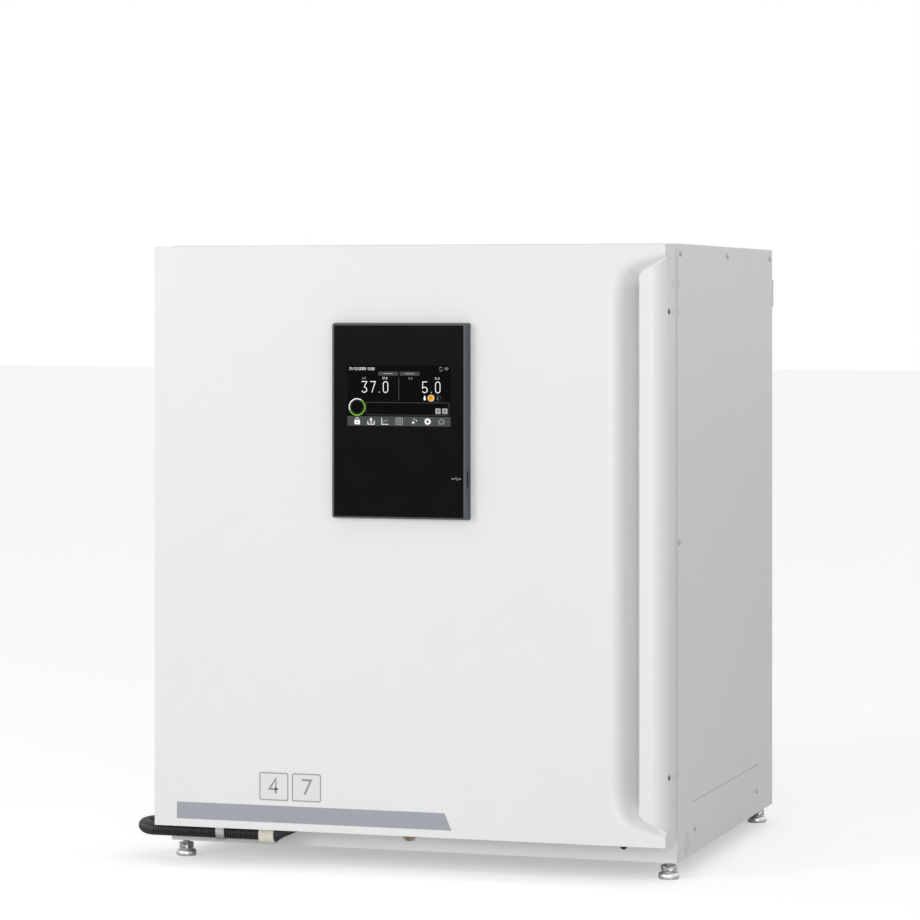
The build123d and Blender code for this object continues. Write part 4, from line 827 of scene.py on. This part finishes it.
def numerals(name, text, x0, x1, low_high, stroke, depth, finish, widths):
    """A row of numerals between x0 and x1."""
    low, high = low_high
    total = sum(widths[mark] for mark in text)
    gap = (x1 - x0 - total) / max(len(text) - 1, 1)
    x = x0
    lines = []
    for mark in text:
        lines += digit_lines(mark, x, low, widths[mark], high - low)
        x += widths[mark] + gap
    return strokes(name, lines, stroke, depth, finish)


def screen():
    """The lit screen: two readings, a status ring, a message box and a row of symbols."""
    face = glass_depth - mark_gap
    over = face - layer_gap
    top = over - layer_gap
    left, right = screen_x
    low, high = screen_z
    plate("screen_field", rounded_box(left, low, right, high, 0.4), face, screen_ink)
    plate("screen_bar", rounded_box(left, low, right, bar_top, 0.3), over, bar_ink)

    big = {"3": 7.6, "7": 7.6, "0": 6.8, "5": 7.4, ".": 1.2}
    small = {mark: 2.0 for mark in "0123"} | {"/": 1.4, ":": 0.8}
    tiny = {mark: 1.5 for mark in "0357"} | {".": 0.4}
    texts = (
        ("reading_temperature", "37.0", -59.0, -19.6, reading_z, 1.15, white_ink, big),
        ("reading_gas", "5.0", 32.1, 58.8, reading_z, 1.15, white_ink, big),
        ("clock_day", "31/12/2000", -77.8, -53.0, clock_z, 0.5, white_ink, small),
        ("clock_hour", "12:00", -50.6, -40.0, clock_z, 0.5, white_ink, small),
        ("caption_1", "00", -58.0, -53.0, caption_z, 0.38, pale_ink, tiny),
        ("caption_2", "37.0", -28.0, -20.4, caption_z, 0.38, white_ink, tiny),
        ("caption_3", "00", 12.0, 17.0, caption_z, 0.38, pale_ink, tiny),
        ("caption_4", "5.0", 51.6, 57.6, caption_z, 0.38, white_ink, tiny),
    )
    for name, text, x0, x1, low_high, stroke, colour, widths in texts:
        numerals(name, text, x0, x1, low_high, stroke, over, colour, widths)

    for number, (x0, x1) in enumerate(((-34.0, -4.3), (-1.7, 28.0)), 1):
        plate(f"status_field_{number}", rounded_box(x0, 716.6, x1, 722.3, 0.8), over, grey_ink)
        middle = (x0 + x1) / 2
        dash = drawn((middle - 7, 719.4), (middle + 7, 719.4))
        strokes(f"status_mark_{number}", [dash], 1.1, top, pale_ink)
    strokes("screen_divider", [drawn((-3.0, 681.3), (-3.0, 714.6))], 0.9, over, grey_ink)

    green = drawn(*around(*ring_centre, ring_radius, 200, 420, 60))
    white = drawn(*around(*ring_centre, ring_radius, 60, 200, 40))
    inner = looped(*around(*ring_centre, ring_radius - 2.4, 0, 354, 60))
    strokes("ring_green", [green], 1.5, over, green_ink)
    strokes("ring_white", [white], 1.5, over, white_ink)
    strokes("ring_inner", [inner], 0.7, over, grey_ink)

    message = looped(*rounded_box(-52.3, 660.3, 72.2, 678.0, 1.6))
    strokes("message_box", [message], 0.75, over, grey_ink)
    for name, x, way in (("back", 55.7, -1), ("forward", 66.0, 1)):
        button = rounded_box(x - 3.95, 662.3, x + 3.95, 670.2, 0.6)
        plate(f"button_{name}", button, over, pale_ink)
        arrow = [(x + 1.5 * way, 666.3), (x - 0.9 * way, 668.2), (x - 0.9 * way, 664.4)][::way]
        plate(f"arrow_{name}", arrow, top, dark_ink)

    bottle = [(34.3, 681.6), (37.3, 681.6), (37.3, 685.8), (36.5, 687.0), (36.5, 688.3),
              (35.1, 688.3), (35.1, 687.0), (34.3, 685.8)]
    plate("gas_bottle", bottle, over, white_ink)
    chosen = (45.2, 684.8)
    rim = looped(*around(*chosen, 4.6, 0, 352.5, 48))
    selector = looped(*rounded_box(43.0, 680.4, 60.2, 689.2, 4.35))
    plate("gas_selected", around(*chosen, 4.5, 0, 352.5, 48), over, amber_ink)
    strokes("gas_selected_rim", [rim], 0.5, top, white_ink)
    strokes("gas_selector", [selector], 0.55, over, grey_ink)
    strokes("gas_mark_1", digit_lines("1", 44.0, 683.0, 2.2, 3.8), 0.6, top, dark_ink)
    strokes("gas_mark_2", digit_lines("2", 54.0, 683.2, 2.0, 3.2), 0.5, top, pale_ink)

    for name, turn in (("link_a", 40), ("link_b", 220)):
        arc = drawn(*around(59.9, 726.2, 2.6, turn, turn + 130, 16))
        strokes(f"status_{name}", [arc], 0.65, over, pale_ink)
    arcs = [drawn(*around(68.5, 723.6, radius, 45, 135, 12)) for radius in (1.7, 3.2, 4.7)]
    strokes("status_signal", arcs, 0.6, over, pale_ink)
    symbols(over - 0.02)
    port_mark(face)


def symbols(depth):
    """The seven symbols in the bar below the readings."""
    z = symbol_z
    over = depth - layer_gap
    lock, export, chart, table, stars, gear, home = symbol_x

    x = lock
    body = rounded_box(x - 4.2, z - 4.9, x + 4.2, z + 1.6, 0.6)
    bow = drawn(*around(x, z + 2.4, 2.3, 0, 180, 14))
    plate("symbol_lock_body", body, depth, white_ink)
    strokes("symbol_lock_bow", [bow], 0.9, depth, white_ink)
    strokes("symbol_lock_hole", [drawn((x, z - 3.0), (x, z - 0.4))], 1.0, over, bar_ink)

    x = export
    tray = drawn((x - 4.8, z + 0.6), (x - 4.8, z - 4.4), (x + 4.8, z - 4.4), (x + 4.8, z + 0.6))
    head = [(x - 2.6, z + 2.0), (x + 2.6, z + 2.0), (x, z + 5.0)]
    strokes("symbol_export_tray", [tray], 1.1, depth, white_ink)
    strokes("symbol_export_stem", [drawn((x, z - 2.4), (x, z + 2.6))], 1.8, depth, white_ink)
    plate("symbol_export_head", head, depth, white_ink)

    x = chart
    axes = drawn((x - 5.0, z + 4.9), (x - 5.0, z - 4.4), (x + 5.2, z - 4.4))
    curve = drawn((x - 3.2, z - 1.6), (x - 1.4, z + 0.8), (x + 0.3, z - 0.2), (x + 2.2, z + 1.8),
                  (x + 4.8, z + 1.6))
    strokes("symbol_chart_axes", [axes], 0.9, depth, white_ink)
    strokes("symbol_chart_line", [curve], 0.8, depth, pale_ink)

    x = table
    edge = looped(*rounded_box(x - 4.9, z - 4.7, x + 4.9, z + 4.9, 1.2))
    lines = [drawn((x - 3.2, z + up), (x + 3.2, z + up)) for up in (2.6, 0.9, -0.8, -2.5)]
    strokes("symbol_table_frame", [edge], 1.0, depth, pale_ink)
    strokes("symbol_table_rows", lines, 0.75, depth, pale_ink)

    corner = np.arange(8)
    angle = corner * pi / 4
    for number, (dx, dz, r) in enumerate(((-1.2, -1.6, 2.9), (3.6, 1.4, 1.7), (0.4, 3.6, 1.2)), 1):
        radius = np.where(corner % 2 == 0, r, r * 0.36)
        star = [stars + dx + radius * np.cos(angle), z + dz + radius * np.sin(angle)]
        plate(f"symbol_star_{number}", np.stack(star, -1), depth, white_ink)

    angle = np.arange(64) * 2 * pi / 64
    radius = 4.5 + 0.6 * np.sign(np.sin(8 * angle + 0.2))
    teeth = np.stack([gear + radius * np.cos(angle), z + radius * np.sin(angle)], -1)
    plate("symbol_gear", teeth, depth, white_ink)
    plate("symbol_gear_hole", around(gear, z, 1.9, 0, 350, 36), over, bar_ink)

    x = home
    roof = drawn((x - 5.2, z - 0.4), (x, z + 4.0), (x + 5.2, z - 0.4))
    walls = [drawn((x + side, z - 0.2), (x + side, z - 4.4)) for side in (-3.2, 3.2)]
    strokes("symbol_home_roof", [roof], 1.0, depth, pale_ink)
    strokes("symbol_home_walls", walls, 1.0, depth, pale_ink)
    strokes("symbol_home_door", [drawn((x, z - 4.6), (x, z - 1.2))], 1.6, depth, pale_ink)


def port_mark(depth):
    """The small forked arrow printed beside the data port."""
    x, z = 83.0, 570.2
    over = depth - ink
    forks = [drawn((x - 2.5, z), (x - 0.6, z + 2.0), (x + 1.4, z + 2.0)),
             drawn((x - 0.6, z), (x + 1.3, z - 2.0), (x + 3.0, z - 2.0))]
    head = [(x + 4.8, z - 1.2), (x + 7.2, z), (x + 4.8, z + 1.2)]
    strokes("port_mark_stem", [drawn((x - 6.0, z), (x + 5.0, z))], 0.55, depth, pale_ink)
    strokes("port_mark_forks", forks, 0.5, depth, pale_ink)
    plate("port_mark_ball", around(x - 5.8, z, 1.1, 0, 345, 20), over, pale_ink)
    plate("port_mark_head", head, over, pale_ink)


def door_marks():
    """The grey stripe low on the door and two square labels with plain signs."""
    depth = -0.10
    over = depth - 0.06
    plate("door_stripe", stripe_outline, depth, stripe_ink)
    low, high = label_z
    for number, (x, numeral) in enumerate(((-222.0, "4"), (-172.0, "7")), 1):
        box = rounded_box(x, low, x + label_side, high, 3.0)
        line = looped(*rounded_box(x + 1.5, low + 1.5, x + label_side - 1.5, high - 1.5, 2.4))
        sign = digit_lines(numeral, x + 16.0, low + 11.0, 14.0, 21.0)
        plate(f"label_{number}", box, depth, label_white)
        strokes(f"label_{number}_line", [line], 1.6, over, label_line)
        strokes(f"label_{number}_sign", sign, 3.2, over, label_line)


def panel_housing():
    """The control panel's grey housing in rings, from the flange over the taper to its rim."""
    left, low, right, high = panel_box
    rings = []
    for x, z, radius, depth in (
        (0, 0, 2.6, -0.2), (0, 0, 2.6, -2.6), (0.5, 0.4, 2.6, -3.2), (2.6, 1.2, 2.2, -14.6),
        (3.2, 1.7, 2.0, -15.7), (3.9, 2.2, 1.8, -16.0), (5.9, 3.5, 1.2, -16.0),
        (6.0, 3.6, 1.2, -14.0),
    ):
        line = rounded_box(left + x, low + z, right - x, high - z, radius, 8)
        rings.append(np.insert(line, 1, depth, axis=1))
    housing = surface("panel_housing", np.stack(rings), wrap=True, crease=32.0)
    dress(housing, finishes["bezel_grey"].material, "outer_door", ("control_bezel",))
    x, z = pane_inset
    outline = rounded_box(left + x, low + z, right - x, high - z, 1.2, 8)
    finish = finishes["panel_glass"]
    pane = plate("panel_pane", outline, glass_depth, finish, thickness=glass_thickness)
    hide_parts("control_glass")


def painted_port_shade():
    """A dark plate laid on the slanted right side of the housing: painted shade for the data port's
    recessed mouth.
    """
    mouth = np.array([(99.55, -11.2, 558.0), (98.75, -4.0, 558.0),
                      (98.75, -4.0, 580.5), (99.55, -11.2, 580.5)])
    points = np.concatenate([mouth, mouth - [0.4, 0, 0]])
    sides = [(k, k + 4, (k + 1) % 4 + 4, (k + 1) % 4) for k in range(4)]
    obj = mesh_object("painted_port_shade", points, [(0, 1, 2, 3), (7, 6, 5, 4), *sides])
    dress(obj, finishes["display_black"].material, "outer_door")


panel_housing()
# The data port's mouth is a dark plate of painted shade, not an opening.
painted_port_shade()
screen()
door_marks()


# Rounded solids that are shown smooth

def body_of(node):
    """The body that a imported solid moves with."""
    for name, members in frame["record"]["behaviour"]["bodies"].items():
        if node in members:
            return name
    raise SystemExit("no body holds " + node)


rounded_solids = (
    "levelling_foot_front_left", "levelling_foot_front_right", "levelling_foot_rear_left",
    "levelling_foot_rear_right", "chamber_liner", "humidity_pan", "fan_impeller",
    "door_side_screws", "door_hole_plugs", "cabinet_plugs", "cabinet_screws", "front_cap",
    "drain_plug", "gas_nipples", "access_port_sleeve", "access_port_stopper", "inner_door_glass",
    "conduit_clamp", "conduit_sleeve", "hinge_door_leaves", "hinge_cabinet_leaves", "latch_lever",
    "uv_lamp", "fan_motor", "power_inlet", "chamber_sensors", "pan_cover",
)
for node in rounded_solids:
    smooth_copy(node, finishes[slots[node]].material, body_of(node))


# Studio

def math_node(tree, operation, first, second):
    """The result of two values, where the second is a socket or a number."""
    node = tree.nodes.new("ShaderNodeMath")
    node.operation = operation
    tree.links.new(first, node.inputs[0])
    if isinstance(second, float):
        node.inputs[1].default_value = second
    else:
        tree.links.new(second, node.inputs[1])
    return node.outputs[0]


def backdrop():
    """A world that is seen as white, also in reflections, and lights the object at world_level."""
    world = bpy.data.worlds.new("studio")
    bpy.context.scene.world = world
    world.use_nodes = True
    tree = world.node_tree
    background = tree.nodes["Background"]
    background.inputs["Color"].default_value = (1, 1, 1, 1)
    path = tree.nodes.new("ShaderNodeLightPath")
    seen = math_node(tree, "MAXIMUM", path.outputs["Is Camera Ray"], path.outputs["Is Glossy Ray"])
    shown = math_node(tree, "MAXIMUM", seen, path.outputs["Is Transmission Ray"])
    level = tree.nodes.new("ShaderNodeMapRange")
    level.inputs["To Min"].default_value = world_level
    level.inputs["To Max"].default_value = 1.0
    tree.links.new(shown, level.inputs["Value"])
    tree.links.new(level.outputs["Result"], background.inputs["Strength"])


def floor():
    """A white floor, with a little glow added to it as the camera sees it."""
    mesh = bpy.data.meshes.new("floor")
    corners = [(-floor_reach, -floor_reach, 0), (floor_reach, -floor_reach, 0),
               (floor_reach, floor_reach, 0), (-floor_reach, floor_reach, 0)]
    mesh.from_pydata(corners, [], [(0, 1, 2, 3)])
    obj = bpy.data.objects.new("floor", mesh)
    bpy.context.scene.collection.objects.link(obj)
    material = bpy.data.materials.new("floor")
    material.use_nodes = True
    tree = material.node_tree
    shader = tree.nodes["Principled BSDF"]
    shader.inputs["Base Color"].default_value = (0.90, 0.90, 0.90, 1)
    shader.inputs["Roughness"].default_value = 0.9
    shader.inputs["Specular IOR Level"].default_value = 0.0
    path = tree.nodes.new("ShaderNodeLightPath")
    glow = tree.nodes.new("ShaderNodeEmission")
    lift = math_node(tree, "MULTIPLY", path.outputs["Is Camera Ray"], floor_lift)
    tree.links.new(lift, glow.inputs["Strength"])
    both = tree.nodes.new("ShaderNodeAddShader")
    tree.links.new(shader.outputs[0], both.inputs[0])
    tree.links.new(glow.outputs[0], both.inputs[1])
    tree.links.new(both.outputs[0], tree.nodes["Material Output"].inputs["Surface"])
    mesh.materials.append(material)


def lights():
    """Two round area lamps that face the object."""
    aim = Vector(lamp_aim)
    for name, way, size, energy in lamps:
        lamp = bpy.data.lights.new(name, "AREA")
        lamp.shape = "DISK"
        lamp.size = size
        lamp.energy = energy
        stand = bpy.data.objects.new(name, lamp)
        bpy.context.scene.collection.objects.link(stand)
        stand.location = aim + Vector(way).normalized() * lamp_distance
        stand.rotation_euler = (aim - stand.location).to_track_quat("-Z", "Y").to_euler()


def camera():
    """The photograph's viewpoint: a long lens, level, a little right of the object."""
    data = bpy.data.cameras.new("camera")
    data.sensor_width = sensor_width
    data.lens = focal_length / picture_side * sensor_width
    data.shift_y = (centre_row - picture_side / 2) / picture_side
    data.clip_end = 200.0
    view = bpy.data.objects.new("camera", data)
    view.location = camera_place
    view.rotation_euler = (pi / 2 + camera_tilt, 0.0, camera_turn)
    bpy.context.scene.collection.objects.link(view)
    bpy.context.scene.camera = view


backdrop()
floor()
lights()
camera()
bpy.context.scene.view_settings.view_transform = "Standard"

bpy.context.view_layer.update()
